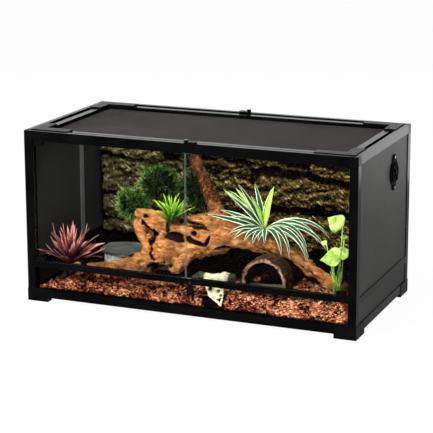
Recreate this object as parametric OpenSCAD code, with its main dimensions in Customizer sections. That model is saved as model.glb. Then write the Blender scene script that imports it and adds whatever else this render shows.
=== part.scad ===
// Glass-fronted reptile terrarium: a black profile frame on four moulded feet, dark side
// and back panels, two hinged glass doors over a fixed front glass, a lift-off screen lid
// with two turn latches, an adjustable side vent, and its furnishings.
// Millimetres. +X right, +Y to the back, +Z up. The origin is at the bottom centre of the
// overall size; the frame's own centre line is at x_mid, y_mid.

/* [Overall] */
// Width over the frame
body_w = 900; // [820:10:1100]
// Depth over the frame
body_d = 450; // [430:10:560]
// Height from the ground to the top of the frame
body_h = 455; // [440:5:560]

/* [Frame] */
// Width of the corner posts and depth of the rails
post_s = 22; // [20:1:28]
// Height of the bottom rails above the ground
rail_lift = 11; // [8:1:16]
// Height of the bottom rails
bottom_rail_h = 23; // [20:1:30]
// Height of the front rail under the doors
sill_h = 12; // [10:1:16]
// Underside of the front rail under the doors
sill_z = 93; // [90:1:110]
// Height of the rails between the side panels
side_rail_h = 19; // [14:1:24]
// Underside of the rails between the side panels
side_rail_z = 83; // [80:1:100]
// Height of the front top rail
head_h = 23; // [22:1:30]
// Height of the side and back top rails
top_rail_h = 21; // [20:1:26]
// Thickness of the upstand of the top rails
upstand_t = 12; // [10:1:14]
// Thickness of the ledge that carries the lid
ledge_t = 5; // [3:0.5:6]
// Distance from the outer face to the inner edge of the ledge
ledge_in = 38; // [34:1:42]

/* [Feet] */
// Length of a foot along the front
foot_w = 57; // [45:1:70]
// Length of a foot along the side
foot_d = 66; // [45:1:80]
// Distance that the feet stand proud of the frame
foot_proud = 1; // [0.5:0.5:2]

/* [Panels and glass] */
// Thickness of the panels and the glass
panel_t = 5; // [3:0.5:6]
// Distance from the outer face of the frame to a panel
panel_inset = 2; // [1.5:0.5:3]
// Depth of the grooves that hold the panels
groove_d = 3; // [2:0.5:4]
// Clearance at each edge of a panel in its groove
panel_gap = 0.1; // [0.05:0.05:0.2]
// Underside of the floor panel
floor_z = 20; // [18:1:24]
// Width of the cover strip on the left wall
strip_w = 18; // [12:1:26]
// Thickness of the cover strip
strip_t = 3; // [2:0.5:4]
// Distance from the back of the frame to the middle of the vent and of the cover strip
vent_back = 147; // [100:1:180]

/* [Doors] */
// Gap between the two doors
door_gap = 3; // [2:0.5:5]
// Gap between a hinge shoe and the rail above or below it
hinge_gap = 1; // [0.5:0.5:2]
// Distance from a post to the hinge axis
hinge_in = 9; // [9:0.5:12]
// Distance from a post to the edge of the door glass
door_edge_gap = 1.5; // [1.5:0.5:2]
// Length of a hinge shoe along the glass
shoe_l = 24; // [20:1:32]
// Height that a hinge shoe reaches over the glass
shoe_h = 12; // [8:1:20]
// Wall of a hinge shoe
shoe_wall = 2; // [1.5:0.5:2]
// Radius of the hinge pins
hinge_pin_r = 2; // [1.5:0.25:2.5]
// Length of a hinge pin inside its rail
hinge_pin_l = 7; // [5:1:8]
// Clearance round a turning pin
run_gap = 0.05; // [0.02:0.01:0.1]
// Height of the stop lips behind the doors
stop_h = 5; // [3:1:8]
// Thickness of the stop lips
stop_t = 2.5; // [2:0.5:4]
// Width of the door magnet
magnet_w = 9; // [6:1:14]

/* [Door latch] */
// Distance from the middle to the pivot of the door latch
door_latch_x = 14; // [12:1:18]
// Width of the door latch
door_latch_w = 18; // [16:1:22]
// Length of the door latch from its pivot to its tip
door_latch_l = 35; // [28:1:38]
// Thickness of the door latch
door_latch_t = 4; // [3:0.5:5]
// Clearance between sliding faces
face_gap = 0.3; // [0.2:0.05:0.5]
// Radius of the three pivot screws
screw_r = 2; // [1.5:0.25:2.25]
// Radius of the screw heads
screw_head_r = 3.6; // [3:0.2:4.4]
// Height of the screw heads
screw_head_h = 1.6; // [1.2:0.2:2.4]
// Depth of the screws in the rails
screw_in = 8; // [6:1:9]

/* [Lid] */
// Distance from the outer face of the frame to the lid bars
lid_in = 26; // [24:1:28]
// Width of the lid bars
lid_bar_w = 18; // [16:1:22]
// Height of the lid bars
lid_bar_h = 13.5; // [11:0.5:13.5]
// Height of the lid corners above the frame
corner_proud = 2; // [1:0.5:4]
// Length of the lid corners from the outer face along the front
corner_x = 118; // [80:1:140]
// Length of the lid corners from the outer face along the sides
corner_y = 98; // [70:1:120]
// Clearance between the lid corners and the upstand
corner_gap = 1.5; // [1:0.25:2]
// Thickness of the screen
mesh_t = 0.8; // [0.6:0.1:1.2]
// Openings of the screen's grid across the width: coarser than the woven wire
mesh_cells = 12; // [4:1:12]
// Width of the bars between the openings of the screen
mesh_bar = 2; // [1:0.5:4]
// Side of the cord that holds the screen
cord_s = 3; // [2:0.5:4]

/* [Lid latches] */
// Length of a latch plate from its pivot
lid_latch_l = 26; // [22:1:30]
// Width of a latch plate
lid_latch_w = 19; // [16:0.5:19]
// Thickness of a latch plate
lid_latch_t = 3; // [2:0.5:4]
// Radius of a latch knob
knob_r = 5.5; // [4.5:0.25:5.5]
// Height of a latch knob above its plate
knob_h = 4.5; // [3:0.5:8]

/* [Vent] */
// Distance from the top of the frame to the middle of the vent
vent_drop = 99; // [90:1:140]
// Radius of the vent flange
vent_r = 33; // [30:1:40]
// Thickness of the vent flange
vent_t = 3; // [2:0.5:4]
// Length over the two ears of the vent
vent_ear_l = 94; // [84:1:110]
// Width of the ears of the vent
vent_ear_w = 30; // [20:1:36]
// Radius of the hole in the side panel
vent_hole_r = 27; // [24:1:29]
// Thickness of the vent shutter
shutter_t = 3; // [2:0.5:4]
// Height of the grip on the shutter
grip_h = 2.4; // [1.5:0.1:3]
// Number of openings in the vent
vent_n = 6; // [4:1:8]

/* [Furnishings] */
// Height of the bark at the left wall
bark_left = 32; // [30:1:50]
// Height of the bark in front of the driftwood
bark_mid = 60; // [55:1:70]
// Height of the bark at the right wall
bark_right = 88; // [80:1:92]
// Thickness of the rock background
rock_t = 30; // [20:1:40]
// Gap between the rock background and the panels
rock_gap = 1; // [0.5:0.5:3]
// Outer radius of the cork hide
cork_r = 60; // [50:1:62]
// Height of the upright sides of the cork hide
cork_leg = 22; // [16:1:26]
// Wall of the cork hide
cork_t = 9; // [6:1:12]
// Length of the cork hide
cork_l = 60; // [40:1:62]

/* [Hidden] */

round_fn = 48;
ball_fn = 14;

// half sizes and heights that several pieces share
hw = body_w / 2;
hd = body_d / 2;
post_in_x = hw - post_s;
post_in_y = hd - post_s;
foot_h = rail_lift + bottom_rail_h;
foot_leg = post_s + foot_proud;
sill_top = sill_z + sill_h;
side_rail_top = side_rail_z + side_rail_h;
head_z = body_h - head_h;
top_rail_z = body_h - top_rail_h;
ledge_top = top_rail_z + ledge_t;
panel_mid = panel_inset + panel_t / 2;
floor_top = floor_z + panel_t;

// doors: the hinge axis stands in the middle of the glass
hinge_x = post_in_x - hinge_in;
hinge_y = hd - panel_mid;
door_low = sill_top + hinge_gap + shoe_wall;
door_high = head_z - hinge_gap - shoe_wall;
stop_x = hinge_x - shoe_l - hinge_in;

// front stack of the door latch, from the frame's face outwards
latch_back_y = face_gap;
latch_front_y = latch_back_y + door_latch_t;
door_latch_z = sill_z + sill_h / 2;
front_out = latch_front_y + face_gap + screw_head_h;

// side stack of the vent, from the panel's face outwards
vent_y = hd - vent_back;
vent_z = body_h - vent_drop;
vent_pin_r = 4;
shutter_r = vent_hole_r - 2;
shutter_x = vent_t + face_gap;
grip_x = shutter_x + shutter_t;
vent_cap_x = grip_x + face_gap;
vent_cap_t = 1.6;
side_out = max(grip_x + grip_h, vent_cap_x + vent_cap_t) - panel_inset;

// the origin is the bottom centre of everything, so the frame is shifted by half of
// what stands out on one side only
x_mid = (foot_proud - side_out) / 2;
y_mid = (front_out - foot_proud) / 2;

// lid
lid_x = hw - lid_in;
lid_y = hd - lid_in;
lid_z = ledge_top + face_gap;
lid_top = lid_z + lid_bar_h;
corner_top = body_h + corner_proud;
corner_out = upstand_t + corner_gap;
screen_in = lid_bar_w - 2 * cord_s;

// lid latches: the pivot stands in the middle of the upstand
lid_pivot_x = 2;
lid_pivot_y = hd - upstand_t / 2;
lid_latch_z = body_h + face_gap;
knob_top = lid_latch_z + lid_latch_t + knob_h;

module framed() translate([x_mid, y_mid, 0]) children();

// a block between two corners
module block(low, high) translate(low) cube(high - low);

// the same thing at the left and right, or at the front and back
module mirror_x(side) mirror([side < 0 ? 0 : 1, 0, 0]) children();
module mirror_y(side) mirror([0, side < 0 ? 0 : 1, 0]) children();

// ---------------------------------------------------------------- feet and posts

// moulded corner foot, L-shaped in plan, that takes the post and both bottom rails
module foot(side_x, side_y) {
    color("#26282a") framed() mirror_x(side_x) mirror_y(side_y)
        difference() {
            translate([-hw - foot_proud, -hd - foot_proud, 0])
                linear_extrude(foot_h) difference() {
                    square([foot_w + foot_proud, foot_d + foot_proud]);
                    translate([foot_leg, foot_leg]) square([foot_w, foot_d]);
                }
            floor_groove();
            lane_x(hw, foot_h - groove_d, body_h);
            lane_y(hd, foot_h - groove_d, body_h);
        }
}

// the slot round the inside of the base that holds the floor panel
module floor_groove() {
    edge = post_s - groove_d;
    block([-hw + edge, -hd + edge, floor_z - panel_gap],
          [hw - edge, hd - edge, floor_top + panel_gap]);
}

// square corner post, grooved for the panels that run into it
module post(side_x, side_y) {
    top = side_y < 0 ? head_z : top_rail_z;
    front_top = side_y < 0 ? sill_top : top;
    lane = panel_t + 2 * panel_gap;
    lane_in = panel_inset - panel_gap;
    color("#17181a") framed() mirror_x(side_x) mirror_y(side_y)
        difference() {
            translate([-hw, -hd, foot_h]) cube([post_s, post_s, min(head_z, top_rail_z) - foot_h]);
            translate([-hw + lane_in, -hd + post_s - groove_d, foot_h - 1])
                cube([lane, post_s, body_h]);
            translate([-hw + post_s - groove_d, -hd + lane_in, foot_h - 1])
                cube([post_s, lane, front_top - foot_h + 1]);
        }
}

// four corner blocks that join the top rails: an upstand round a low inner seat
module top_corners() {
    low = min(head_z, top_rail_z);
    color("#1c1d1f") framed()
        for (side_x = [-1, 1], side_y = [-1, 1])
            mirror_x(side_x) mirror_y(side_y)
                difference() {
                    translate([-hw, -hd, low]) cube([post_s, post_s, body_h - low]);
                    translate([-hw + upstand_t, -hd + upstand_t, ledge_top])
                        cube([post_s, post_s, body_h]);
                    translate([-hw + panel_inset - panel_gap, -hd + post_s - groove_d, 0])
                        cube([panel_t + 2 * panel_gap, post_s, top_rail_z + groove_d]);
                    if (side_y > 0)
                        translate([-hw + post_s - groove_d, -hd + panel_inset - panel_gap, 0])
                            cube([post_s, panel_t + 2 * panel_gap, top_rail_z + groove_d]);
                }
}

// ---------------------------------------------------------------- rails

// a straight rail along X at the front: the front and back rails share it
module rail_x(half_len, z_low, z_high, depth) {
    translate([-half_len, -hd, z_low]) cube([2 * half_len, depth, z_high - z_low]);
}

// a straight rail along Y at the left
module rail_y(half_len, z_low, z_high, depth) {
    translate([-hw, -half_len, z_low]) cube([depth, 2 * half_len, z_high - z_low]);
}

// the groove of a panel along X, open from z_low to z_high
module lane_x(half_len, z_low, z_high) {
    translate([-half_len, -hd + panel_inset - panel_gap, z_low])
        cube([2 * half_len, panel_t + 2 * panel_gap, z_high - z_low]);
}

module lane_y(half_len, z_low, z_high) {
    translate([-hw + panel_inset - panel_gap, -half_len, z_low])
        cube([panel_t + 2 * panel_gap, 2 * half_len, z_high - z_low]);
}

module bottom_rail_x(side) {
    color("#17181a") framed() mirror_y(side)
        difference() {
            rail_x(hw - foot_w, rail_lift, foot_h, post_s);
            lane_x(hw, foot_h - groove_d, body_h);
            floor_groove();
        }
}

module bottom_rail_y(side) {
    color("#17181a") framed() mirror_x(side)
        difference() {
            rail_y(hd - foot_d, rail_lift, foot_h, post_s);
            lane_y(hd, foot_h - groove_d, body_h);
            floor_groove();
        }
}

// front rail under the doors: holds the lower glass, the lower hinge pins, the door
// latch and the lip that the doors close against
module door_sill() {
    color("#141517") framed()
        difference() {
            union() {
                rail_x(post_in_x, sill_z, sill_top, post_s);
                stop_lip(sill_top, sill_top + stop_h);
            }
            lane_x(hw, 0, sill_z + groove_d);
            for (side = [-1, 1]) hinge_bore(side, sill_top - hinge_pin_l - 1);
            translate([door_latch_x, -hd, door_latch_z]) rotate([-90, 0, 0])
                cylinder(h = screw_in, r = screw_r, $fn = round_fn);
        }
}

// lip behind the doors, clear of the glass edges that swing back past the hinges
module stop_lip(z_low, z_high) {
    lip_y = -hd + panel_inset + panel_t + face_gap;
    block([-stop_x, lip_y, z_low], [stop_x, lip_y + stop_t, z_high]);
}

module hinge_bore(side, z_low) {
    translate([side * hinge_x, -hinge_y, z_low])
        cylinder(h = hinge_pin_l + 1, r = hinge_pin_r + run_gap, $fn = round_fn);
}

// rail between the lower and the upper side panel
module side_rail(side) {
    color("#17181a") framed() mirror_x(side)
        difference() {
            rail_y(post_in_y, side_rail_z, side_rail_top, post_s);
            lane_y(hd, 0, side_rail_z + groove_d);
            lane_y(hd, side_rail_top - groove_d, body_h);
        }
}

// top rail along X: upstand with a ledge for the lid; the front one is deeper and holds
// the upper hinge pins and the upper door stop
module top_rail_x(side) {
    low = side < 0 ? head_z : top_rail_z;
    color("#141517") framed() mirror_y(side)
        difference() {
            union() {
                rail_x(post_in_x, low, body_h, upstand_t);
                rail_x(post_in_x, top_rail_z, ledge_top, ledge_in);
                if (side < 0) stop_lip(head_z - stop_h, top_rail_z + ledge_t);
            }
            if (side < 0) for (end = [-1, 1]) hinge_bore(end, head_z);
            else lane_x(hw, 0, top_rail_z + groove_d);
            translate([-side * lid_pivot_x, -lid_pivot_y, body_h - screw_in])
                cylinder(h = screw_in, r = screw_r, $fn = round_fn);
        }
}

module top_rail_y(side) {
    color("#141517") framed() mirror_x(side)
        difference() {
            union() {
                rail_y(post_in_y, top_rail_z, body_h, upstand_t);
                rail_y(hd - ledge_in, top_rail_z, ledge_top, ledge_in);
            }
            lane_y(hd, 0, top_rail_z + groove_d);
        }
}

// ---------------------------------------------------------------- panels

module floor_panel() {
    edge = post_s - groove_d + panel_gap;
    color("#2b2c2e") framed()
        block([-hw + edge, -hd + edge, floor_z], [hw - edge, hd - edge, floor_top]);
}

// sheet along X in the grooves at the front: the front and back sheets share it
module sheet_x(z_low, z_high) {
    half = hw - post_s + groove_d - panel_gap;
    translate([-half, -hd + panel_inset, z_low]) cube([2 * half, panel_t, z_high - z_low]);
}

module sheet_y(z_low, z_high) {
    half = hd - post_s + groove_d - panel_gap;
    translate([-hw + panel_inset, -half, z_low]) cube([panel_t, 2 * half, z_high - z_low]);
}

panel_low = foot_h - groove_d + panel_gap;
panel_high = top_rail_z + groove_d - panel_gap;

module back_panel() {
    color("#2d2e2f") framed() mirror_y(1) sheet_x(panel_low, panel_high);
}

module lower_front_glass() {
    color("#9fb4ae", 0.3) framed() sheet_x(panel_low, sill_z + groove_d - panel_gap);
}

module side_panel_lower(side) {
    color("#3a3b3a") framed() mirror_x(side)
        sheet_y(panel_low, side_rail_z + groove_d - panel_gap);
}

// the right one is bored for the vent and its two screws
module side_panel_upper(side) {
    color("#3a3b3a") framed()
        difference() {
            mirror_x(side) sheet_y(side_rail_top - groove_d + panel_gap, panel_high);
            if (side > 0) {
                at_vent(-body_h / 2) cylinder(h = body_h, r = vent_hole_r, $fn = round_fn);
                vent_screw_places() translate([0, 0, -body_h / 2])
                    cylinder(h = body_h, r = screw_r, $fn = round_fn);
            }
        }
}

module wall_strip() {
    inner = hw - panel_inset - panel_t;
    color("#35373a") framed()
        block([-inner, vent_y - strip_w / 2, side_rail_top],
              [-inner + strip_t, vent_y + strip_w / 2, top_rail_z]);
}

// ---------------------------------------------------------------- doors

module door_glass(side) {
    color("#9fb4ae", 0.3) framed() mirror_x(side)
        block([-post_in_x + door_edge_gap, -hd + panel_inset, door_low],
              [-door_gap / 2, -hd + panel_inset + panel_t, door_high]);
}

// one plastic shoe over the corner of the glass, with its steel pin; z is where the
// glass ends and up is the way the pin points
module hinge_shoe(z, up) {
    out = hinge_in - door_edge_gap - shoe_wall - panel_t / 2;
    translate([-hinge_x, -hinge_y, z]) mirror([0, 0, up > 0 ? 0 : 1]) {
        difference() {
            translate([-out, -panel_t / 2 - shoe_wall, -shoe_h])
                cube([shoe_l, panel_t + 2 * shoe_wall, shoe_h + shoe_wall]);
            translate([-hinge_in, -panel_t / 2, -shoe_h - 1])
                cube([shoe_l + 2 * hinge_in, panel_t, shoe_h + 1]);
        }
        cylinder(h = shoe_wall + hinge_gap + hinge_pin_l, r = hinge_pin_r, $fn = round_fn);
    }
}

module hinge_shoes(side) {
    color("#1b1c1e") framed() mirror_x(side) {
        hinge_shoe(door_high, 1);
        hinge_shoe(door_low, -1);
    }
}

// small magnet block on the upper lip that holds the right door shut
module door_magnet() {
    y = -hd + panel_inset + panel_t + face_gap;
    color("#8d8f90") framed()
        block([door_gap + 2, y, head_z - stop_h - magnet_w],
              [door_gap + 2 + magnet_w, y + stop_t, head_z - stop_h]);
}

// turn latch: hangs from its screw below the sill, and turned up it holds both doors
module door_latch() {
    prong = door_latch_w / 4;
    half = door_latch_w / 2;
    color("#1d1e20") framed()
        translate([door_latch_x, -hd - latch_back_y, door_latch_z]) rotate([90, 0, 0])
            linear_extrude(door_latch_t) difference() {
                union() {
                    circle(r = sill_h / 2, $fn = round_fn);
                    translate([-sill_h / 2, -sill_h]) square([sill_h, sill_h]);
                    translate([-half, -door_latch_l]) square([door_latch_w, door_latch_l - sill_h]);
                }
                circle(r = screw_r + run_gap, $fn = round_fn);
                translate([-half + prong, -door_latch_l - 1])
                    square([2 * prong, prong + 1]);
            }
}

// ---------------------------------------------------------------- screws

module pivot_screw(grip) {
    seat = run_gap / 2;
    translate([0, 0, -screw_in + 1]) cylinder(h = screw_in + grip, r = screw_r - seat, $fn = round_fn);
    translate([0, 0, grip]) cylinder(h = screw_head_h, r = screw_head_r, $fn = round_fn);
}

// the door latch's screw and the two lid latch screws
module pivot_screws() {
    color("#8a8c8e") framed() {
        translate([door_latch_x, -hd, door_latch_z]) rotate([90, 0, 0])
            pivot_screw(latch_front_y + face_gap);
        for (end = [0, 180]) rotate([0, 0, end]) translate([lid_pivot_x, -lid_pivot_y, body_h])
            pivot_screw(knob_top - body_h - screw_head_h);
    }
}

// ---------------------------------------------------------------- lid

// a lid bar, mitred at both ends, with a rebate below for the screen and its cord
module lid_bar(half_len, half_across) {
    translate([0, -half_across, lid_z])
        difference() {
            linear_extrude(lid_bar_h) polygon([
                [-half_len, 0], [half_len, 0],
                [half_len - lid_bar_w, lid_bar_w], [-half_len + lid_bar_w, lid_bar_w]]);
            translate([-half_len, screen_in, -1])
                cube([2 * half_len, lid_bar_w, cord_s + mesh_t + 1]);
        }
}

module lid_bar_x(side) {
    color("#1e1f21") framed() mirror_y(side) lid_bar(lid_x, lid_y);
}

module lid_bar_y(side) {
    color("#1e1f21") framed() mirror_x(side) rotate([0, 0, -90]) lid_bar(lid_y, lid_x);
}

// four L-shaped corners: a cap over the bars and a skirt that centres the lid
module lid_corners() {
    wide = lid_in + lid_bar_w;
    color("#222325") framed()
        for (side_x = [-1, 1], side_y = [-1, 1])
            mirror_x(side_x) mirror_y(side_y) translate([-hw, -hd]) {
                translate([0, 0, lid_top]) linear_extrude(corner_top - lid_top)
                    corner_plan(wide);
                translate([0, 0, lid_z]) linear_extrude(lid_top - lid_z)
                    corner_plan(lid_in);
            }
}

// plan of a lid corner: an L from the skirt's outer face to inner
module corner_plan(inner) {
    difference() {
        translate([corner_out, corner_out])
            square([corner_x - corner_out, corner_y - corner_out]);
        translate([inner, inner]) square([corner_x, corner_y]);
    }
}

module lid_screen() {
    edge = lid_in + screen_in;
    half_x = hw - lid_in - lid_bar_w - mesh_bar;
    half_y = hd - lid_in - lid_bar_w - mesh_bar;
    pitch_x = (2 * half_x + mesh_bar) / mesh_cells;
    rows = max(2, round((2 * half_y + mesh_bar) / pitch_x));
    pitch_y = (2 * half_y + mesh_bar) / rows;
    z = lid_z + cord_s;
    color("#4a4845") framed() difference() {
        block([-hw + edge, -hd + edge, z], [hw - edge, hd - edge, z + mesh_t]);
        for (i = [0:mesh_cells - 1], j = [0:rows - 1])
            translate([-half_x + i * pitch_x, -half_y + j * pitch_y, z - 1])
                cube([pitch_x - mesh_bar, pitch_y - mesh_bar, mesh_t + 2]);
    }
}

// square rubber cord that presses the edge of the screen into the rebate
module screen_cord() {
    edge = lid_in + screen_in;
    color("#101112") framed() translate([0, 0, lid_z])
        linear_extrude(cord_s) difference() {
            square([2 * (hw - edge), 2 * (hd - edge)], center = true);
            square([2 * (hw - edge - cord_s), 2 * (hd - edge - cord_s)], center = true);
        }
}

// turn latch on the upstand: lies along the rail at rest and turns in over the lid bar
module lid_latch(end) {
    out = knob_r;
    color("#1b1c1e") framed() rotate([0, 0, end])
        translate([lid_pivot_x, -lid_pivot_y, lid_latch_z])
            difference() {
                union() {
                    linear_extrude(lid_latch_t) union() {
                        circle(r = out, $fn = round_fn);
                        translate([0, -out]) square([lid_latch_l - out, lid_latch_w]);
                        translate([0, 0]) square([lid_latch_l, lid_latch_w - 2 * out]);
                        for (y = [0, lid_latch_w - 2 * out])
                            translate([lid_latch_l - out, y]) circle(r = out, $fn = round_fn);
                    }
                    cylinder(h = lid_latch_t + knob_h, r = knob_r, $fn = round_fn);
                }
                translate([0, 0, -1])
                    cylinder(h = body_h, r = screw_r + run_gap, $fn = round_fn);
                translate([0, 0, lid_latch_t + knob_h - screw_head_h - face_gap])
                    cylinder(h = body_h, r = screw_head_r + face_gap, $fn = round_fn);
            }
}

// ---------------------------------------------------------------- vent

// the vent's own frame: z runs out of the right panel's face, x is up
module at_vent(out) {
    translate([hw - panel_inset + out, vent_y, vent_z]) rotate([0, 90, 0]) children();
}

module vent_screw_places() {
    for (up = [-1, 1]) at_vent(0)
        translate([up * (vent_ear_l / 2 - vent_ear_w / 4), 0, 0]) children();
}

// radial openings, one between each pair of spokes, wider at the rim than at the hub
module vent_openings(thick) {
    hub = vent_pin_r + 4;
    hub_half = 2.2;
    rim = shutter_r - 3;
    rim_half = 5.6;
    step = 360 / vent_n;
    for (i = [0:vent_n - 1]) rotate([0, 0, i * step]) translate([0, 0, -1])
        linear_extrude(thick + 2)
            polygon([[hub, -hub_half], [rim, -rim_half], [rim, rim_half], [hub, hub_half]]);
}

// flange with two screw ears, a collar through the panel, and the shutter's pin
module vent_body() {
    color("#121314") framed() {
        difference() {
            at_vent(0) union() {
                linear_extrude(vent_t) union() {
                    circle(r = vent_r, $fn = round_fn);
                    for (up = [-1, 1]) translate([up * (vent_ear_l - vent_ear_w) / 2, 0])
                        circle(d = vent_ear_w, $fn = round_fn);
                    square([vent_ear_l - vent_ear_w, vent_ear_w], center = true);
                }
                translate([0, 0, -panel_t - vent_t])
                    linear_extrude(panel_t + vent_t) difference() {
                        circle(r = vent_hole_r - panel_gap, $fn = round_fn);
                        circle(r = vent_hole_r - panel_gap - 2, $fn = round_fn);
                    }
            }
            at_vent(0) vent_openings(vent_t);
            vent_screw_places() translate([0, 0, -1])
                cylinder(h = vent_t + 2, r = screw_r, $fn = round_fn);
        }
        at_vent(vent_t) cylinder(h = vent_cap_x - vent_t, r = vent_pin_r, $fn = round_fn);
        at_vent(vent_cap_x) cylinder(h = vent_cap_t, r = vent_pin_r + 3, $fn = round_fn);
    }
}

// disc with the same openings: turned by half a step it shuts them
module vent_shutter() {
    color("#1a1b1c") framed()
        difference() {
            union() {
                at_vent(shutter_x) cylinder(h = shutter_t, r = shutter_r, $fn = round_fn);
                at_vent(grip_x) rotate([0, 0, 180 / vent_n])
                    translate([vent_pin_r + 6, -2, 0])
                        cube([shutter_r - vent_pin_r - 8, 4, grip_h]);
            }
            at_vent(shutter_x - 1)
                cylinder(h = shutter_t + grip_h + 2, r = vent_pin_r + run_gap, $fn = round_fn);
            at_vent(shutter_x) vent_openings(shutter_t);
        }
}

module vent_screws() {
    seat = run_gap / 2;
    color("#6d6f70") framed() vent_screw_places() {
        translate([0, 0, -panel_t - 1])
            cylinder(h = panel_t + vent_t + 1, r = screw_r - seat, $fn = round_fn);
        translate([0, 0, vent_t])
            cylinder(h = screw_head_h, r = screw_head_r, $fn = round_fn);
    }
}

// ---------------------------------------------------------------- furnishings

// the furnishings are laid out in a cage of this width and depth; in another one they
// spread with its width and keep their distance from the front glass or from the back
layout_w = 900;
layout_d = 450;
spread = body_w / layout_w;
front_shift = (layout_d - body_d) / 2;
function front_spot(p) = [p[0] * spread, p[1] + front_shift, p[2]];
function back_spot(p) = [p[0] * spread, p[1] - front_shift, p[2]];

wall_x = hw - panel_inset - panel_t - rock_gap;
wall_y = hd - panel_inset - panel_t - rock_gap;
post_clear = post_s + rock_gap;
room_top = top_rail_z - 4;

// where the middle of the skull stands
skull_x = 70;

// the free room that nothing growing or standing in the cage leaves
module room() {
    translate([0, 0, floor_top + (room_top - floor_top) / 2])
        cube([2 * (hw - post_clear), 2 * wall_y, room_top - floor_top], center = true);
}

// plan of the space between the bottom rails
module rail_plan() {
    square([body_w - 2 * post_clear, body_d - 2 * post_clear], center = true);
}

// plan of the wider space over the bottom rails, between the panels and round the posts
module panel_plan(half_x) {
    difference() {
        square([2 * half_x, 2 * wall_y], center = true);
        for (side_x = [-1, 1], side_y = [-1, 1])
            translate([side_x * hw, side_y * hd]) square(2 * post_clear, center = true);
    }
}

// bark bed: thin at the left wall and deep at the right one; drop lowers its surface
module bark_shape(drop) {
    translate([0, wall_y, 0]) rotate([90, 0, 0])
        linear_extrude(2 * wall_y) polygon([
            [-wall_x, floor_top], [wall_x, floor_top], [wall_x, bark_right - drop],
            [150 * spread, bark_right - 6 - drop], [60 * spread, bark_mid - drop],
            [-350 * spread, bark_mid - drop],
            [-wall_x, bark_left - drop]]);
}

// hollow behind the lower glass that the skull stands in
skull_hollow_r = 50;

module skull_hollow() {
    translate([skull_x * spread, -hd, foot_h + face_gap])
        cylinder(h = body_h, r = skull_hollow_r, $fn = round_fn);
}

module bark_bed() {
    color("#8a4a32") framed() difference() {
        intersection() {
            bark_shape(0);
            union() {
                translate([0, 0, floor_top]) linear_extrude(body_h) rail_plan();
                translate([0, 0, foot_h + face_gap])
                    linear_extrude(side_rail_z - foot_h - 2 * face_gap) panel_plan(wall_x);
                translate([0, 0, foot_h + face_gap]) linear_extrude(body_h)
                    panel_plan(hw - post_clear);
            }
        }
        block([-hw, rock_front - rock_gap / 2, 0], [hw, hd, body_h]);
        skull_hollow();
    }
}

rock_back = hd - post_clear;
rock_front = rock_back - rock_t;

// the slab that the rocks stand out of
module rock_slab() {
    half = hw - post_clear;
    block([-half, rock_front, floor_top], [half, rock_back, room_top]);
}

// foam rock wall: weathered ledges with dark gaps between them
// each ledge is [left, right, low, high, how far it stands out]
ROCKS = [
    [-425, -250, 330, 420, 10], [-425, -290, 215, 318, 16], [-425, -310, 120, 205, 12],
    [-240, -120, 350, 424, 14], [-110, 60, 360, 420, 10], [-20, 130, 330, 352, 14],
    [75, 250, 345, 424, 18], [262, 425, 360, 420, 12], [140, 425, 270, 335, 20],
    [30, 200, 215, 300, 12], [215, 425, 190, 258, 26], [240, 425, 100, 178, 16]
];

module rock_background() {
    edge = 6;
    color("#6b5f3c") framed() {
        rock_slab();
        intersection() {
            room();
            for (rock = ROCKS)
                translate([rock[0] * spread, rock_front - rock[4], rock[2]])
                    rotate([90, 0, 90]) linear_extrude((rock[1] - rock[0]) * spread) polygon([
                        [0, edge], [0, rock[3] - rock[2] - edge], [edge, rock[3] - rock[2]],
                        [rock[4] + 1, rock[3] - rock[2]], [rock[4] + 1, 0], [edge, 0]]);
        }
    }
}

// a tapering limb from ball a to ball b; each ball is [x, y, z, radius]
module limb(a, b) {
    hull() {
        translate(front_spot(a)) sphere(r = a[3], $fn = ball_fn);
        translate(front_spot(b)) sphere(r = b[3], $fn = ball_fn);
    }
}

// driftwood: a tongue along the front, heavy lobes over each other, an arch to the
// right and a branch up to the background
TONGUE = [[-344, -165, 85, 8], [-291, -165, 90, 12], [-226, -160, 96, 18],
          [-162, -145, 106, 28]];
LOWER_LOBE = [[-162, -140, 110, 30], [-101, -135, 124, 30], [-59, -145, 112, 22],
              [-30, -135, 123, 22], [3, -115, 150, 25], [48, -95, 176, 26]];
MIDDLE = [[-149, -110, 138, 26], [-115, -108, 156, 28], [-66, -108, 154, 30],
          [-15, -105, 160, 30], [48, -95, 176, 28]];
UPPER_LOBE = [[-206, -64, 190, 18], [-175, -65, 200, 22], [-136, -75, 180, 24],
              [-77, -80, 182, 23], [-4, -85, 184, 26], [50, -85, 188, 28]];
CROWN = [[-199, -70, 219, 14], [-171, -62, 218, 17], [-136, -62, 205, 20], [-106, -66, 195, 23]];
PLANK = [[-63, -45, 208, 17], [-17, -50, 214, 24], [35, -60, 205, 28], [84, -75, 198, 27],
         [126, -85, 190, 25]];
ARCH = [[50, -85, 188, 28], [123, -90, 186, 24], [195, -100, 178, 21], [251, -108, 158, 18],
        [304, -120, 134, 16], [353, -132, 112, 13], [388, -140, 100, 11], [404, -144, 84, 9]];
BRANCH = [[16, -45, 222, 25], [-9, -20, 264, 18], [-37, 0, 300, 15], [-68, 25, 338, 13],
          [-99, 50, 368, 12], [-117, 66, 390, 10]];
BACK_LEG = [[-136, -75, 180, 24], [-150, -30, 110, 26], [-160, 0, 62, 22]];
FRONT_LEG = [[-162, -140, 110, 30], [-150, -120, 56, 24]];

// holes bored in the driftwood for two plants: [x, y, height of the floor, radius]
TUFT_SEAT = [-103, -78, 200, 8];
SPIDER_SEAT = [156, -93, 196, 10];

module limbs(balls) {
    for (i = [0:len(balls) - 2]) limb(balls[i], balls[i + 1]);
}

module plant_seat(seat) {
    translate(front_spot(seat))
        cylinder(h = seat[3] * 6, r = seat[3] + face_gap, $fn = round_fn);
}

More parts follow.
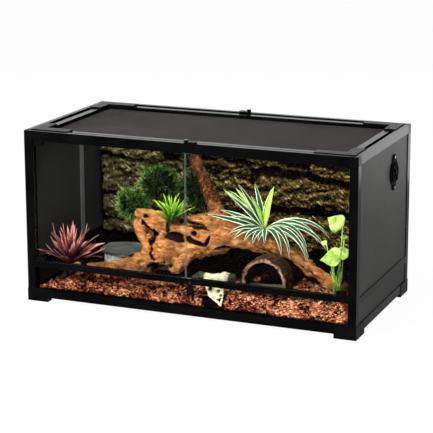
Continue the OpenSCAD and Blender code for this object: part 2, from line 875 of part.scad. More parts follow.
module driftwood() {
    color("#b8733a") framed() difference() {
        intersection() {
            room();
            for (part = [TONGUE, LOWER_LOBE, MIDDLE, UPPER_LOBE, CROWN, PLANK, ARCH, BRANCH,
                         BACK_LEG, FRONT_LEG])
                limbs(part);
        }
        bark_shape(-face_gap);
        plant_seat(TUFT_SEAT);
        plant_seat(SPIDER_SEAT);
    }
}

// one strap-shaped leaf that rises at slope and bends down by fall at its middle; each
// leaf is [turn, slope, fall, length, width]
module leaf(spec, thick) {
    half = spec[3] / 2;
    width = spec[4];
    bend = spec[1] - spec[2] / 2;
    knee = [half * cos(spec[1]), 0, half * sin(spec[1])];
    tip = [half * cos(spec[1] - spec[2]), 0, half * sin(spec[1] - spec[2])];
    rotate([0, 0, spec[0]]) {
        hull() {
            rotate([0, -spec[1], 0]) cube([thick, width / 3, thick], center = true);
            translate(knee) rotate([0, -bend, 0]) cube([1, width, thick], center = true);
        }
        hull() {
            translate(knee) rotate([0, -bend, 0]) cube([1, width, thick], center = true);
            translate(knee + tip) rotate([0, -bend, 0]) cube([1, thick, thick], center = true);
        }
    }
}

module leaves(specs, thick) {
    for (spec = specs) leaf(spec, thick);
}

BROMELIAD_LEAVES = [
    [200, 36, 6, 82, 18], [172, 42, 8, 96, 18], [192, 66, 8, 122, 16], [150, 56, 10, 118, 18],
    [120, 44, 12, 112, 20], [92, 62, 10, 118, 18], [62, 46, 12, 112, 20], [30, 68, 8, 120, 16],
    [20, 46, 12, 110, 20], [2, 28, 10, 116, 20], [-24, 38, 8, 100, 20], [-48, 52, 8, 92, 18],
    [-74, 40, 6, 78, 18], [-104, 56, 8, 92, 18], [-132, 38, 6, 80, 18]
];

module bromeliad() {
    color("#b0565a") framed() difference() {
        translate([-hw + 81, -hd + 87, 0]) {
            translate([0, 0, 82]) leaves(BROMELIAD_LEAVES, 2);
            translate([0, 0, floor_top]) cylinder(h = 62, r = 13, $fn = 24);
        }
        bark_shape(-face_gap);
    }
}

// three clumps of fine foliage, each on a stem behind it: [x, y, z, radius]
BUSHES = [[-276, 62, 210, 42], [-206, 86, 266, 58], [-97, 84, 264, 46]];

module bushes() {
    lobes = 5;
    color("#2f4a22") framed() for (bush = BUSHES) {
        for (i = [0:lobes - 1]) {
            turn = i * 360 / lobes;
            translate(back_spot(bush) + bush[3] * [0.4 * cos(turn), 0.3 * sin(turn), 0.3 * sin(turn * 2)])
                sphere(r = bush[3] * 0.6, $fn = 16);
        }
        stem = back_spot([bush[0], bush[1] + bush[3] * 0.6, bark_mid + face_gap]);
        translate(stem) cylinder(h = bush[2] - stem[2], r = 4, $fn = 16);
    }
}

// the solid root of a plant, standing in its seat
module plant_root(seat, high) {
    translate(front_spot(seat)) translate([0, 0, face_gap])
        cylinder(h = high, r = seat[3], $fn = 24);
}

TUFT_LEAVES = [
    [202, 44, 10, 64, 7], [215, 68, 8, 76, 7], [160, 58, 10, 78, 7], [120, 66, 12, 84, 7],
    [80, 54, 10, 76, 7], [40, 70, 8, 86, 7], [18, 52, 10, 78, 7], [-10, 62, 8, 74, 7],
    [-40, 44, 12, 60, 7], [-80, 56, 10, 66, 7], [-120, 46, 12, 58, 7], [-60, 78, 4, 80, 7]
];

module grass_tuft() {
    color("#62a825") framed() {
        translate(front_spot(TUFT_SEAT)) translate([0, 0, 22]) leaves(TUFT_LEAVES, 1.8);
        plant_root(TUFT_SEAT, 24);
    }
}

SPIDER_LEAVES = [
    [196, 14, 8, 150, 14], [184, 24, 16, 126, 14], [170, 42, 12, 140, 15], [202, 46, 10, 128, 14],
    [196, 60, 8, 136, 14], [150, 70, 8, 122, 14], [60, 76, 6, 112, 17], [20, 44, 30, 120, 14],
    [14, 24, 70, 190, 15], [-4, 22, 62, 196, 15], [-26, 24, 84, 186, 15], [-46, 26, 92, 130, 14],
    [-70, 24, 60, 70, 14], [-104, 28, 70, 74, 14], [-140, 24, 50, 90, 14], [100, 34, 40, 110, 14]
];

module spider_plant() {
    color("#5d8a52") framed() {
        translate(front_spot(SPIDER_SEAT)) translate([0, 0, 26]) leaves(SPIDER_LEAVES, 2);
        plant_root(SPIDER_SEAT, 28);
    }
}

// thin stems with a broad leaf at each top, placed from the right front corner:
// [x, y, z, leaf length, turn]
BROAD_LEAVES = [[-84, 55, 188, 52, 170], [-58, 45, 200, 40, 20], [-66, 61, 268, 40, 120]];
BROAD_ROOT = [-52, 49];

module broadleaf_plant() {
    color("#9fbf4a") framed() difference() {
        translate([hw, -hd, 0]) for (top = BROAD_LEAVES) {
            place = [top[0], top[1], top[2]];
            hull() {
                translate([BROAD_ROOT[0], BROAD_ROOT[1], bark_right - 6])
                    sphere(r = 4, $fn = 12);
                translate(place) sphere(r = 2, $fn = 12);
            }
            translate(place) rotate([0, 0, top[4]]) rotate([0, 22, 0])
                linear_extrude(2) scale(top[3]) polygon([
                    [-0.1, 0], [0, -0.38], [0.3, -0.46], [0.7, -0.3], [0.94, 0],
                    [0.7, 0.3], [0.3, 0.46], [0, 0.38]]);
        }
        bark_shape(-face_gap);
    }
}

// one rounded bone from ball a to ball b; each ball is [x, y, z, radius], x from the
// middle of the skull
module bone(a, b) {
    hull() {
        translate(front_spot([skull_x, a[1], a[2]]) + [a[0], 0, 0]) sphere(r = a[3], $fn = 20);
        translate(front_spot([skull_x, b[1], b[2]]) + [b[0], 0, 0]) sphere(r = b[3], $fn = 20);
    }
}

// resin skull with deep sockets and an open jaw, upright behind the lower glass
module skull() {
    color("#cfc7a0") framed() difference() {
        union() {
            bone([-20, -186, 101, 14], [16, -183, 104, 16]);
            bone([-3, -184, 94, 17], [12, -198, 68, 11]);
            bone([12, -198, 68, 10], [18, -202, 44, 6]);
            bone([-6, -184, 74, 9], [2, -198, 48, 5]);
            bone([2, -198, 48, 5], [14, -203, 39.5, 4]);
        }
        for (socket = [[-18, -202, 92, 7], [12, -204, 90, 7], [20, -210, 68, 5]])
            translate(front_spot([skull_x, socket[1], socket[2]]) + [socket[0], 0, 0])
                sphere(r = socket[3], $fn = 20);
    }
}

// front of the cork hide, at the middle of its width
CORK_AT = [197, -190, 0];

// length of bent cork bark: an arch on two short upright sides
module cork_hide() {
    inner = cork_r - cork_t;
    base = bark_right + face_gap;
    color("#5a3f33") framed() translate(front_spot(CORK_AT)) translate([0, cork_l, base])
        rotate([90, 0, 0]) linear_extrude(cork_l) difference() {
            union() {
                translate([0, cork_leg]) circle(r = cork_r, $fn = round_fn);
                translate([-cork_r, 0]) square([2 * cork_r, cork_leg]);
            }
            translate([0, cork_leg]) circle(r = inner, $fn = round_fn);
            translate([-inner, -1]) square([2 * inner, cork_leg + 1]);
            translate([-cork_r, -cork_r]) square([2 * cork_r, cork_r]);
        }
}

// the dish stands on the bark and carries the slate
dish_h = 40;
slate_z = bark_mid + dish_h;
slate_t = 8;
DISH_AT = [-272, -28, 0];

module slate_ledge() {
    corners = [[-332, -45], [-300, -75], [-228, -84], [-206, -50], [-212, 30], [-268, 50],
               [-332, 22]];
    color("#565a58") framed() translate([0, 0, slate_z]) linear_extrude(slate_t)
        polygon([for (c = corners) [c[0] * spread, c[1] - front_shift]]);
}

// stone-grey dish with an upright ribbed wall that carries the slate
module ribbed_dish() {
    ribs = 28;
    dish_r = 44;
    color("#9a9d9c") framed() translate(back_spot(DISH_AT))
        translate([0, 0, bark_mid + face_gap])
        linear_extrude(slate_z - bark_mid - face_gap) union() {
            circle(r = dish_r, $fn = round_fn);
            for (i = [0:ribs - 1]) rotate([0, 0, i * 360 / ribs])
                translate([dish_r - 1, -1.5]) square([4, 3]);
        }
}

// ---------------------------------------------------------------- nodes

foot(-1, -1);  // foot_front_left
foot(1, -1);  // foot_front_right
foot(-1, 1);  // foot_rear_left
foot(1, 1);  // foot_rear_right
post(-1, -1);  // post_front_left
post(1, -1);  // post_front_right
post(-1, 1);  // post_rear_left
post(1, 1);  // post_rear_right
top_corners();
bottom_rail_x(-1);  // bottom_rail_front
bottom_rail_x(1);  // bottom_rail_back
bottom_rail_y(-1);  // bottom_rail_left
bottom_rail_y(1);  // bottom_rail_right
door_sill();
side_rail(-1);  // side_rail_left
side_rail(1);  // side_rail_right
top_rail_x(-1);  // top_rail_front
top_rail_x(1);  // top_rail_back
top_rail_y(-1);  // top_rail_left
top_rail_y(1);  // top_rail_right
floor_panel();
back_panel();
lower_front_glass();
side_panel_lower(-1);  // left_panel_lower
side_panel_upper(-1);  // left_panel_upper
side_panel_lower(1);  // right_panel_lower
side_panel_upper(1);  // right_panel_upper
wall_strip();
door_glass(-1);  // door_left
door_glass(1);  // door_right
hinge_shoes(-1);  // hinge_shoes_left
hinge_shoes(1);  // hinge_shoes_right
door_magnet();
door_latch();
pivot_screws();
lid_bar_x(-1);  // lid_bar_front
lid_bar_x(1);  // lid_bar_back
lid_bar_y(-1);  // lid_bar_left
lid_bar_y(1);  // lid_bar_right
lid_corners();
lid_screen();
screen_cord();
lid_latch(0);  // lid_latch_front
lid_latch(180);  // lid_latch_back
vent_body();
vent_shutter();
vent_screws();
bark_bed();
rock_background();
driftwood();
bromeliad();
bushes();
grass_tuft();
spider_plant();
broadleaf_plant();
skull();
cork_hide();
slate_ledge();
ribbed_dish();
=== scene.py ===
import math
import random
import bmesh
import bpy
from mathutils import Matrix, Vector, noise


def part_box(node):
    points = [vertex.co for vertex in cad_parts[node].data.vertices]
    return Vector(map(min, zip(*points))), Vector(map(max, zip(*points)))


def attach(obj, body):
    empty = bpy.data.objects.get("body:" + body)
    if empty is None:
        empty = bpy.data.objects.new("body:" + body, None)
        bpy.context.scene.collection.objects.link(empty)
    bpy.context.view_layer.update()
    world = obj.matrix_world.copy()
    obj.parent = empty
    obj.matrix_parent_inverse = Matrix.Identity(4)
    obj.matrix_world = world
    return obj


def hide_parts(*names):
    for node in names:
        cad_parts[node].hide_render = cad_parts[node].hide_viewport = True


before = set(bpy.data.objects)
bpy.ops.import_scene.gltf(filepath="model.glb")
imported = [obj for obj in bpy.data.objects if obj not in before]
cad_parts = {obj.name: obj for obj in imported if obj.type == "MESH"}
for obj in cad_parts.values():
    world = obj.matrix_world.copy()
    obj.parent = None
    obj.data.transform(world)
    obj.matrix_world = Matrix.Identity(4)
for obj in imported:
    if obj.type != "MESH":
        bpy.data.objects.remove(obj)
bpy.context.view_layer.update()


# ---- Frame rails and posts
# Extruded aluminium with a black satin coating, cut to length and slid into the moulded
# corners. The coating is smooth enough to mirror a bright room at a grazing angle; its
# orange peel, finer than 0.2 mm in life, is drawn coarser so that it can show.

def tone(code):
    """Linear colour of an sRGB hex code."""
    def linear(v):
        return v / 12.92 if v <= 0.04045 else ((v + 0.055) / 1.055) ** 2.4
    return [linear(int(code[i:i + 2], 16) / 255) for i in (1, 3, 5)] + [1.0]


def add(mat, kind, inputs=None, out=0, stops=(), **settings):
    """Adds one node with its settings and links, and returns an output. An input is a value
    or the socket that feeds it; stops are the (place, hex code) pairs of a colour ramp."""
    tree = mat.node_tree
    node = tree.nodes.new("ShaderNode" + kind)
    for key, value in settings.items():
        setattr(node, key, value)
    for key, value in (inputs or {}).items():
        if isinstance(value, bpy.types.NodeSocket):
            tree.links.new(value, node.inputs[key])
        else:
            node.inputs[key].default_value = value
    if stops:
        ends = node.color_ramp.elements
        for end, (at, code) in zip(ends, (stops[0], stops[-1])):
            end.position = at
            end.color = tone(code)
        for at, code in stops[1:-1]:
            ends.new(at).color = tone(code)
    return node.outputs[out]


def new_material(name, **inputs):
    """A principled material, the values set on its shader's own sockets."""
    mat = bpy.data.materials.new(name)
    mat.use_nodes = True
    shader = mat.node_tree.nodes["Principled BSDF"]
    for key, value in inputs.items():
        shader.inputs[key.replace("_", " ")].default_value = value
    return mat


def feed(mat, **sockets):
    """Links sockets to the inputs of the material's shader."""
    inputs = mat.node_tree.nodes["Principled BSDF"].inputs
    for key, socket in sockets.items():
        mat.node_tree.links.new(socket, inputs[key.replace("_", " ")])


def surface(mat, colour, smear, satin, grit, depth, share=0.5):
    """Feeds the shader a colour, a roughness that wanders over the range satin, and relief
    of so many millimetres. Smear and grit are sockets or the width of noise in millimetres."""
    along = add(mat, "TexCoord", out="Object")
    smear, grit = (pattern if isinstance(pattern, bpy.types.NodeSocket) else
                   add(mat, "TexNoise", {"Vector": along, "Scale": 1000 / pattern, "Detail": 3,
                                         "Roughness": 0.6}) for pattern in (smear, grit))
    feed(mat, Base_Color=colour,
         Roughness=add(mat, "MapRange", {"Value": smear, "To Min": satin[0],
                                         "To Max": satin[1]}),
         Normal=add(mat, "Bump", {"Height": grit, "Distance": depth / 1000,
                                  "Strength": share}))


def mottled(name, stops, patch, smear, satin, grit, depth, share=0.5, **inputs):
    """A material whose one colour changes a little from patch to patch; patch, smear and
    grit are widths in millimetres."""
    mat = new_material(name, **inputs)
    shade = add(mat, "TexNoise", {"Vector": add(mat, "TexCoord", out="Object"),
                                  "Scale": 1000 / patch, "Detail": 4, "Roughness": 0.6})
    surface(mat, add(mat, "ValToRGB", {"Fac": shade}, stops=stops), smear, satin, grit, depth,
            share)
    return mat


def dress(mat, *names):
    """Gives a CAD node's slots their material."""
    for name in names:
        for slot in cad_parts[name].material_slots:
            slot.material = mat


coated = mottled("black_coated_aluminium", [(0.35, "#020202"), (0.7, "#060606")], patch=71,
                 smear=17, satin=(0.16, 0.26), grit=0.67, depth=0.02, share=0.4,
                 Specular_IOR_Level=0.013)
dress(coated, "post_front_left", "post_front_right", "post_rear_left", "post_rear_right",
      "bottom_rail_front", "bottom_rail_back", "bottom_rail_left", "bottom_rail_right",
      "door_sill", "side_rail_left", "side_rail_right", "top_rail_front", "top_rail_back",
      "top_rail_left", "top_rail_right", "lid_bar_front", "lid_bar_back", "lid_bar_left",
      "lid_bar_right")


# ---- Feet, corner blocks, hinge shoes and latches
# Black injection-moulded plastic with a fine eroded grain, a shade duller than the rails.
# The feet and corner blocks hold the rails; the shoes clip on the glass; the latches turn
# on their screws.
moulded = mottled("black_moulded_plastic", [(0.3, "#030303"), (0.75, "#090909")], patch=45,
                  smear=4.2, satin=(0.3, 0.44), grit=0.45, depth=0.06, share=0.6,
                  Specular_IOR_Level=0.013)
dress(moulded, "foot_front_left", "foot_front_right", "foot_rear_left", "foot_rear_right",
      "top_corners", "lid_corners", "hinge_shoes_left", "hinge_shoes_right", "door_latch",
      "lid_latch_front", "lid_latch_back")


# ---- Floor, back and side panels, wall strip
# Foamed sheet with a dark satin skin, slid into the grooves of the posts and rails: a flat
# even grey. The strip is a lighter moulding clipped over the left wall's inner face.
sheet = mottled("dark_foamed_sheet", [(0.3, "#2d2d2c"), (0.75, "#353533")], patch=200,
                smear=11, satin=(0.42, 0.55), grit=2, depth=0.03, share=0.3,
                Specular_IOR_Level=0.02)
dress(sheet, "floor_panel", "back_panel", "left_panel_lower", "left_panel_upper",
      "right_panel_lower", "right_panel_upper")

strip = mottled("grey_cover_strip", [(0.3, "#6c6c69"), (0.7, "#787976")], patch=33, smear=5,
                satin=(0.35, 0.5), grit=1.1, depth=0.04, Specular_IOR_Level=0.3)
dress(strip, "wall_strip")


# ---- Door panes and lower front glass
# Clear float glass with pale ground edges, painted brighter where the doors meet as a
# highlight. It passes light straight through and mirrors only a little of the room.
def shade_with(mat, socket):
    """Puts another shader in place of the principled one."""
    nodes = mat.node_tree.nodes
    nodes.remove(nodes["Principled BSDF"])
    mat.node_tree.links.new(socket, nodes["Material Output"].inputs["Surface"])


glass = new_material("clear_float_glass")
along = add(glass, "TexCoord", out="Object")
wipe_marks = add(glass, "TexNoise", {"Vector": along, "Scale": 1000 / 167, "Detail": 3,
                                     "Roughness": 0.6})
polish = add(glass, "MapRange", {"Value": wipe_marks, "To Min": 0.015, "To Max": 0.05})
through = add(glass, "BsdfTransparent", {"Color": tone("#fafcfb")})
shine = add(glass, "BsdfGlossy", {"Color": tone("#ffffff"), "Roughness": polish})
clear = add(glass, "MixShader", {0: add(glass, "Fresnel", {"IOR": 1.06}), 1: through, 2: shine})
# painted highlight: the ground edges are bright where the two doors meet, and faint elsewhere
off_seam = add(glass, "Math", {0: add(glass, "SeparateXYZ", {"Vector": along}, out="X")},
               operation="ABSOLUTE")
painted_seam_light = add(glass, "MapRange", {"Value": off_seam, "From Min": 0.01, "From Max": 0.02,
                                     "To Min": 0.6, "To Max": 0.1})
ground = add(glass, "BsdfDiffuse", {"Color": tone("#8f9896")})
edge = add(glass, "MixShader", {0: painted_seam_light, 1: through, 2: ground})
normal = add(glass, "VectorTransform", {"Vector": add(glass, "NewGeometry", out="Normal")},
             vector_type="NORMAL", convert_from="WORLD", convert_to="OBJECT")
to_front = add(glass, "Math", {0: add(glass, "SeparateXYZ", {"Vector": normal}, out="Y")},
               operation="ABSOLUTE")
on_face = add(glass, "Math", {0: to_front, 1: 0.5}, operation="GREATER_THAN")
shade_with(glass, add(glass, "MixShader", {0: on_face, 1: edge, 2: clear}))
dress(glass, "door_left", "door_right", "lower_front_glass")


# ---- Screws and door magnet
# Small blackened steel screws with turned heads, and the steel block that holds the doors
# shut under the front top rail. The steel has a dull dark sheen.
steel = mottled("blackened_steel", [(0.3, "#232425"), (0.7, "#343536")], patch=3.3, smear=1.1,
                satin=(0.25, 0.4), grit=0.4, depth=0.03, Metallic=1.0)
dress(steel, "pivot_screws", "vent_screws", "door_magnet")


# ---- Vent
# A matt black plastic rosette in the right wall, duller than the frame: a flange held by
# two screws and a disc that turns on its hub to open or shut the slots.
matt = mottled("matt_black_plastic", [(0.3, "#020202"), (0.75, "#070707")], patch=17,
               smear=3.3, satin=(0.6, 0.8), grit=0.62, depth=0.08, share=0.7,
               Specular_IOR_Level=0.01)
dress(matt, "vent_body", "vent_shutter")


# ---- Lid screen and its cord
# Woven steel wire with a black coating, pressed into the lid's groove by a rubber cord.
# The wires are real: seen from low down they close up, from above light passes.
def make_piece(name, bm, mat, body="frame", smooth=True, replaces=()):
    """Turns a bmesh into a piece of the object that rides on a body."""
    mesh = bpy.data.meshes.new(name)
    bm.to_mesh(mesh)
    bm.free()
    mesh.polygons.foreach_set("use_smooth", [smooth] * len(mesh.polygons))
    piece = bpy.data.objects.new(name, mesh)
    bpy.context.collection.objects.link(piece)
    mesh.materials.append(mat)
    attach(piece, body)
    if replaces:
        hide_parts(*replaces)
    return piece


screen_low, screen_high = (Vector(c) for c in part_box("lid_screen"))
screen_mid = (screen_low + screen_high) / 2
screen_size = screen_high - screen_low
wire_pitch = 0.0018
wire_width = 0.00042
screen_rim = 0.002
bm = bmesh.new()
for axis in (0, 1):
    count = int((screen_size[axis] - 2 * screen_rim) / wire_pitch)
    for i in range(count + 1):
        at = screen_mid.copy()
        at[axis] += (i - count / 2) * wire_pitch
        at.z += wire_width * 0.45 * (1 if axis else -1)
        size = Vector((wire_width, wire_width, wire_width))
        size[1 - axis] = screen_size[1 - axis]
        bmesh.ops.create_cube(bm, size=1, matrix=Matrix.LocRotScale(at, None, size))
screen_wire = mottled("coated_screen_wire", [(0.3, "#1b1919"), (0.7, "#232020")], patch=143,
                      smear=2.5, satin=(0.5, 0.65), grit=0.56, depth=0.04,
                      Specular_IOR_Level=0.03)
make_piece("screen_wires", bm, screen_wire, body="lid", smooth=False,
           replaces=["lid_screen"])

rubber = mottled("black_rubber_cord", [(0.3, "#0a0a0a"), (0.7, "#141414")], patch=25, smear=2,
                 satin=(0.6, 0.75), grit=0.83, depth=0.06, share=0.6, Specular_IOR_Level=0.15)
dress(rubber, "screen_cord")


# ---- Rock background
# Rigid foam carved into weathered layers and coated with sand and stone colours. It stands
# against the back panel; painted shade makes the cracks between the layers nearly black.
frame_mid = Vector((-2.85, 2.6, 0))


def spot(x, y, z):
    """A place in millimetres from the middle of the frame, in metres."""
    return (Vector((x, y, z)) + frame_mid) / 1000


def measure(at):
    """Millimetres from the middle of the frame to a place in metres."""
    return at * 1000 - frame_mid


def soft(value, low, high):
    """0 below low, 1 above high, smooth between."""
    t = min(max((value - low) / (high - low), 0), 1)
    return t * t * (3 - 2 * t)


def points_of(geom):
    """The vertices among what a bmesh operator gives back."""
    return [g for g in geom if isinstance(g, bmesh.types.BMVert)]


rock_low, rock_high = (Vector(c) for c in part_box("rock_background"))
rock_back = rock_high.y
foam_thick = 0.030
rock_face = rock_back - foam_thick
# how high the carving stands and how deep it is cut, in millimetres
streak_rise, lump_rise, chunk_rise, crack_deep = 6.5, 6.0, 3, 8
most_out, most_in = 29, -9
# a hollow between the bushes, in painted shade: its middle, half width, half height and depth
pocket_x, pocket_z, pocket_wide, pocket_high, pocket_deep = -168, 226, 52, 34, 6
# layers of the rock: left, right, low, high, how far it stands out, slope to the right
layers = [
    (-425, -235, 318, 424, 18, -0.04), (-425, -285, 212, 322, 20, 0.05),
    (-425, -300, 96, 214, 16, 0.0), (-262, -104, 344, 424, 20, -0.06),
    (-122, 70, 352, 424, 14, -0.03), (-60, 132, 330, 352, 18, -0.10),
    (62, 258, 344, 424, 26, -0.05), (250, 425, 352, 424, 20, -0.02),
    (40, 215, 318, 338, 22, -0.03), (196, 425, 300, 342, 26, -0.16),
    (22, 210, 214, 306, 22, -0.05), (200, 425, 214, 292, 30, -0.12),
    (196, 425, 96, 204, 22, -0.06), (-300, 22, 96, 330, 5, 0.0), (22, 200, 96, 204, 8, 0.0)]
bm = bmesh.new()
size = rock_high - rock_low
bmesh.ops.create_grid(bm, x_segments=330, y_segments=136, size=0.5, matrix=Matrix.LocRotScale(
    Vector(((rock_low.x + rock_high.x) / 2, rock_face, (rock_low.z + rock_high.z) / 2)),
    Matrix.Rotation(math.radians(90), 3, "X"), Vector((size.x, size.z, 1))))
painted_shade_layer = bm.verts.layers.float.new("hollow")
for v in bm.verts:
    x, y, z = measure(v.co)
    p = Vector((x / 1000, 0, z / 1000))
    sway = Vector((noise.fractal(p * 14, 0.8, 2, 4), 0,
                   noise.fractal(p * 14 + Vector((7, 3, 1)), 0.8, 2, 4)))
    u, w = x + sway.x * 16, z + sway.z * 9
    out, edge = -4.0, 1.0
    for left, right, low, high, far, lean in layers:
        tilt = lean * (u - (left + right) / 2)
        inside = (soft(u, left - 4, left + 10) * (1 - soft(u, right - 10, right + 4))
                  * soft(w - tilt, low - 1, low + 7) * (1 - soft(w - tilt, high - 26, high + 3)))
        crown = 0.72 + 0.28 * (1 - (w - tilt - low) / (high - low))
        out = max(out, inside * far * crown)
        edge = min(edge, 1 - inside)
    streak = noise.fractal(Vector((p.x * 24 + p.z * 34, 2, p.z * 86 - p.x * 20)), 0.6, 2.1, 5)
    lump = noise.fractal(p * 48, 0.7, 2, 5)
    chunk = noise.cell(Vector((p.x * 16 + p.z * 6 + sway.x * 0.5, 3, p.z * 30 + sway.z * 0.5)))
    crack = noise.ridged_multi_fractal(Vector((p.x * 12 + p.z * 7, 5, p.z * 32 - p.x * 5)),
                                       0.9, 2, 4, 1, 2)
    crack = soft(crack, 1.15, 1.9)
    pocket = 1 - soft(math.hypot((u - pocket_x) / pocket_wide, (w - pocket_z) / pocket_high),
                      0.6, 1.2)
    rise = (out + streak * streak_rise + lump * lump_rise + chunk * chunk_rise
            - crack * crack_deep - pocket * pocket_deep)
    v.co.y = rock_face - max(min(rise, most_out), most_in) / 1000
    # the left of the rock gets weaker painted shade and light, so it is more even in tone
    painted_contrast = 0.45 + 0.55 * soft(x, -300, -100)
    # painted shade in cracks, gaps and hollow; painted light on raised streaks and lumps
    v[painted_shade_layer] = (soft(edge, 0.3, 0.8) * 0.85 + crack * 0.89 * painted_contrast + pocket
                      - (streak * 0.55 + lump * 0.4) * painted_contrast)
for v in points_of(bmesh.ops.extrude_face_region(bm, geom=bm.faces[:])["geom"]):
    v.co.y = rock_back
bmesh.ops.recalc_face_normals(bm, faces=bm.faces)

# sand and stone colours brushed on in slanting strokes, olive to the left and ochre to the
# right, with a gritty relief, and painted shade nearly black in the cracks and the hollow
rock = new_material("coated_rock_foam", Specular_IOR_Level=0.12, Roughness=0.85)
along = add(rock, "TexCoord", out="Object")
turned = add(rock, "Mapping", {"Vector": along, "Rotation": (0, -0.65, 0)})
slanted = add(rock, "Mapping", {"Vector": turned, "Scale": (0.3, 1, 1.3)})
strokes = add(rock, "TexNoise", {"Vector": slanted, "Scale": 1000 / 6.67, "Detail": 6,
                                 "Roughness": 0.75})
stains = add(rock, "TexNoise", {"Vector": along, "Scale": 1000 / 111, "Detail": 3,
                                "Roughness": 0.6})
sand = add(rock, "TexNoise", {"Vector": along, "Scale": 1000 / 1.61, "Detail": 3,
                              "Roughness": 0.6})
ochre = add(rock, "ValToRGB", {"Fac": strokes}, stops=[
    (0.38, "#100a04"), (0.49, "#463519"), (0.58, "#8c7436"), (0.67, "#ece096")])
olive = add(rock, "ValToRGB", {"Fac": strokes}, stops=[
    (0.37, "#121006"), (0.48, "#454024"), (0.57, "#7e7446"), (0.67, "#d8d09c")])
to_left = add(rock, "MapRange", {"Value": add(rock, "SeparateXYZ", {"Vector": along}, out="X"),
                                 "From Min": -0.3, "From Max": 0.0, "To Min": 1, "To Max": 0})
wander = add(rock, "MapRange", {"Value": stains, "To Min": -0.4, "To Max": 0.4})
greener = add(rock, "Math", {0: to_left, 1: wander}, operation="ADD", use_clamp=True)
both = add(rock, "Mix", {0: greener, 6: ochre, 7: olive}, out=2, data_type="RGBA")
shadow = add(rock, "MapRange", {"Value": add(rock, "Attribute", attribute_name="hollow",
                                             out="Fac"), "From Min": 0.05, "From Max": 0.75})
gritty = add(rock, "Bump", {"Height": sand, "Distance": 0.0012, "Strength": 0.6})
feed(rock, Base_Color=add(rock, "Mix", {0: shadow, 6: both, 7: tone("#080503")}, out=2,
                          data_type="RGBA"),
     Normal=add(rock, "Bump", {"Height": strokes, "Distance": 0.005, "Normal": gritty}))
make_piece("rock_wall", bm, rock, replaces=["rock_background"])


# ---- Bark bed
# Loose red-brown bark chips over a deeper layer, heaped towards the right wall and
# pressed against the lower front glass; painted shade darkens it at the back and in the hide.
def bed_height(x):
    """Height of the bed over the ground at x, in millimetres."""
    points = [(-450, 32), (-350, 60), (60, 60), (150, 82), (450, 88)]
    for (x0, z0), (x1, z1) in zip(points, points[1:]):
        if x <= x1:
            return z0 + (z1 - z0) * (x - x0) / (x1 - x0)
    return points[-1][1]


def gather(whole, part):
    """Moves a small bmesh into a large one."""
    mesh = bpy.data.meshes.new("part")
    part.to_mesh(mesh)
    part.free()
    whole.from_mesh(mesh)
    bpy.data.meshes.remove(mesh)


def painted_bed_shade(at):
    """1 where the bed is painted nearly black as shade: at the back and inside the hide."""
    in_hide = (soft(at.x, hide_low.x, hide_low.x + 0.012)
               * (1 - soft(at.x, hide_high.x - 0.012, hide_high.x))
               * soft(at.y, hide_low.y, hide_low.y + 0.02))
    return max(soft(at.y, -0.09, -0.01), in_hide)


chance = random.Random(11)
hide_low, hide_high = (Vector(c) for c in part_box("cork_hide"))
bed_low, bed_high = (Vector(c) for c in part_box("bark_bed"))
bed_size = bed_high - bed_low
skull_x = 70
front_pane_y = -212
pocket_y, pocket_half_wide, pocket_half_deep, pocket_floor = -225, 33, 50, 34
chip_tilt = 0.6


def off_pocket(x, y, gap=0.0):
    """How far past the rim of the skull's pocket a place is, in millimetres; 0 inside."""
    wide, deep = pocket_half_wide + gap, pocket_half_deep + gap
    return max(math.hypot((x - skull_x) / wide, (y - pocket_y) / deep) - 1, 0) * wide


bm = bmesh.new()
bm.verts.layers.float.new("chip")
bed_shade_layer = bm.verts.layers.float.new("bed_shade")
bmesh.ops.create_grid(bm, x_segments=150, y_segments=66, size=0.5, matrix=Matrix.LocRotScale(
    (bed_low + bed_high) / 2, None, Vector((bed_size.x - 0.034, bed_size.y - 0.012, 1))))
for v in bm.verts:
    x, y, z = measure(v.co)
    top = bed_height(x) - 5 + 5 * noise.noise(v.co * 70) + 2 * noise.noise(v.co * 190)
    v.co.z = (top if off_pocket(x, y) > 1.5 else pocket_floor) / 1000
    v[bed_shade_layer] = painted_bed_shade(v.co)
for v in points_of(bmesh.ops.extrude_face_region(bm, geom=bm.faces[:])["geom"]):
    v.co.z = bed_low.z + 0.001
bmesh.ops.recalc_face_normals(bm, faces=bm.faces)


def scatter_chip(part, at, long):
    """One bark chip: a crooked splinter lying at a chance angle."""
    shades, bed_shades = (part.verts.layers.float.get(name) for name in ("chip", "bed_shade"))
    made = bmesh.ops.create_cube(part, size=1, matrix=Matrix.LocRotScale(
        at, Matrix.Rotation(chance.uniform(0, 6.28), 3, "Z")
        @ Matrix.Rotation(chance.uniform(-chip_tilt, chip_tilt), 3, "X")
        @ Matrix.Rotation(chance.uniform(-chip_tilt, chip_tilt), 3, "Y"),
        Vector((long, long * chance.uniform(0.35, 0.7), long * chance.uniform(0.14, 0.3)))))
    shade = chance.random()
    for v in made["verts"]:
        v.co += Vector((chance.uniform(-1, 1), chance.uniform(-1, 1),
                        chance.uniform(-1, 1))) * long * 0.12
        v[shades] = shade
        v[bed_shades] = painted_bed_shade(at)


# most batches lie on top of the bed, three in four of their chips near the front, and the
# last ones stand against the pane
batches, top_batches, batch_size = 80, 52, 100
bed_half_wide, near_y, far_y = 418, -60, 165
for batch in range(batches):
    part = bmesh.new()
    for name in ("chip", "bed_shade"):
        part.verts.layers.float.new(name)
    for i in range(batch_size):
        x = chance.uniform(-bed_half_wide, bed_half_wide)
        if batch >= top_batches:
            z = chance.uniform(38, bed_height(x) - 4)
            if off_pocket(x, front_pane_y):
                scatter_chip(part, spot(x, front_pane_y - 0.2 + chance.uniform(-1.2, 1.5), z),
                             chance.uniform(0.004, 0.0085))
            continue
        y = chance.uniform(front_pane_y, near_y) if i % 4 else chance.uniform(near_y, far_y)
        if off_pocket(x, y, 5):
            scatter_chip(part, spot(x, y, bed_height(x) - chance.uniform(1.5, 4.5)),
                         chance.uniform(0.0045, 0.0105))
    gather(bm, part)
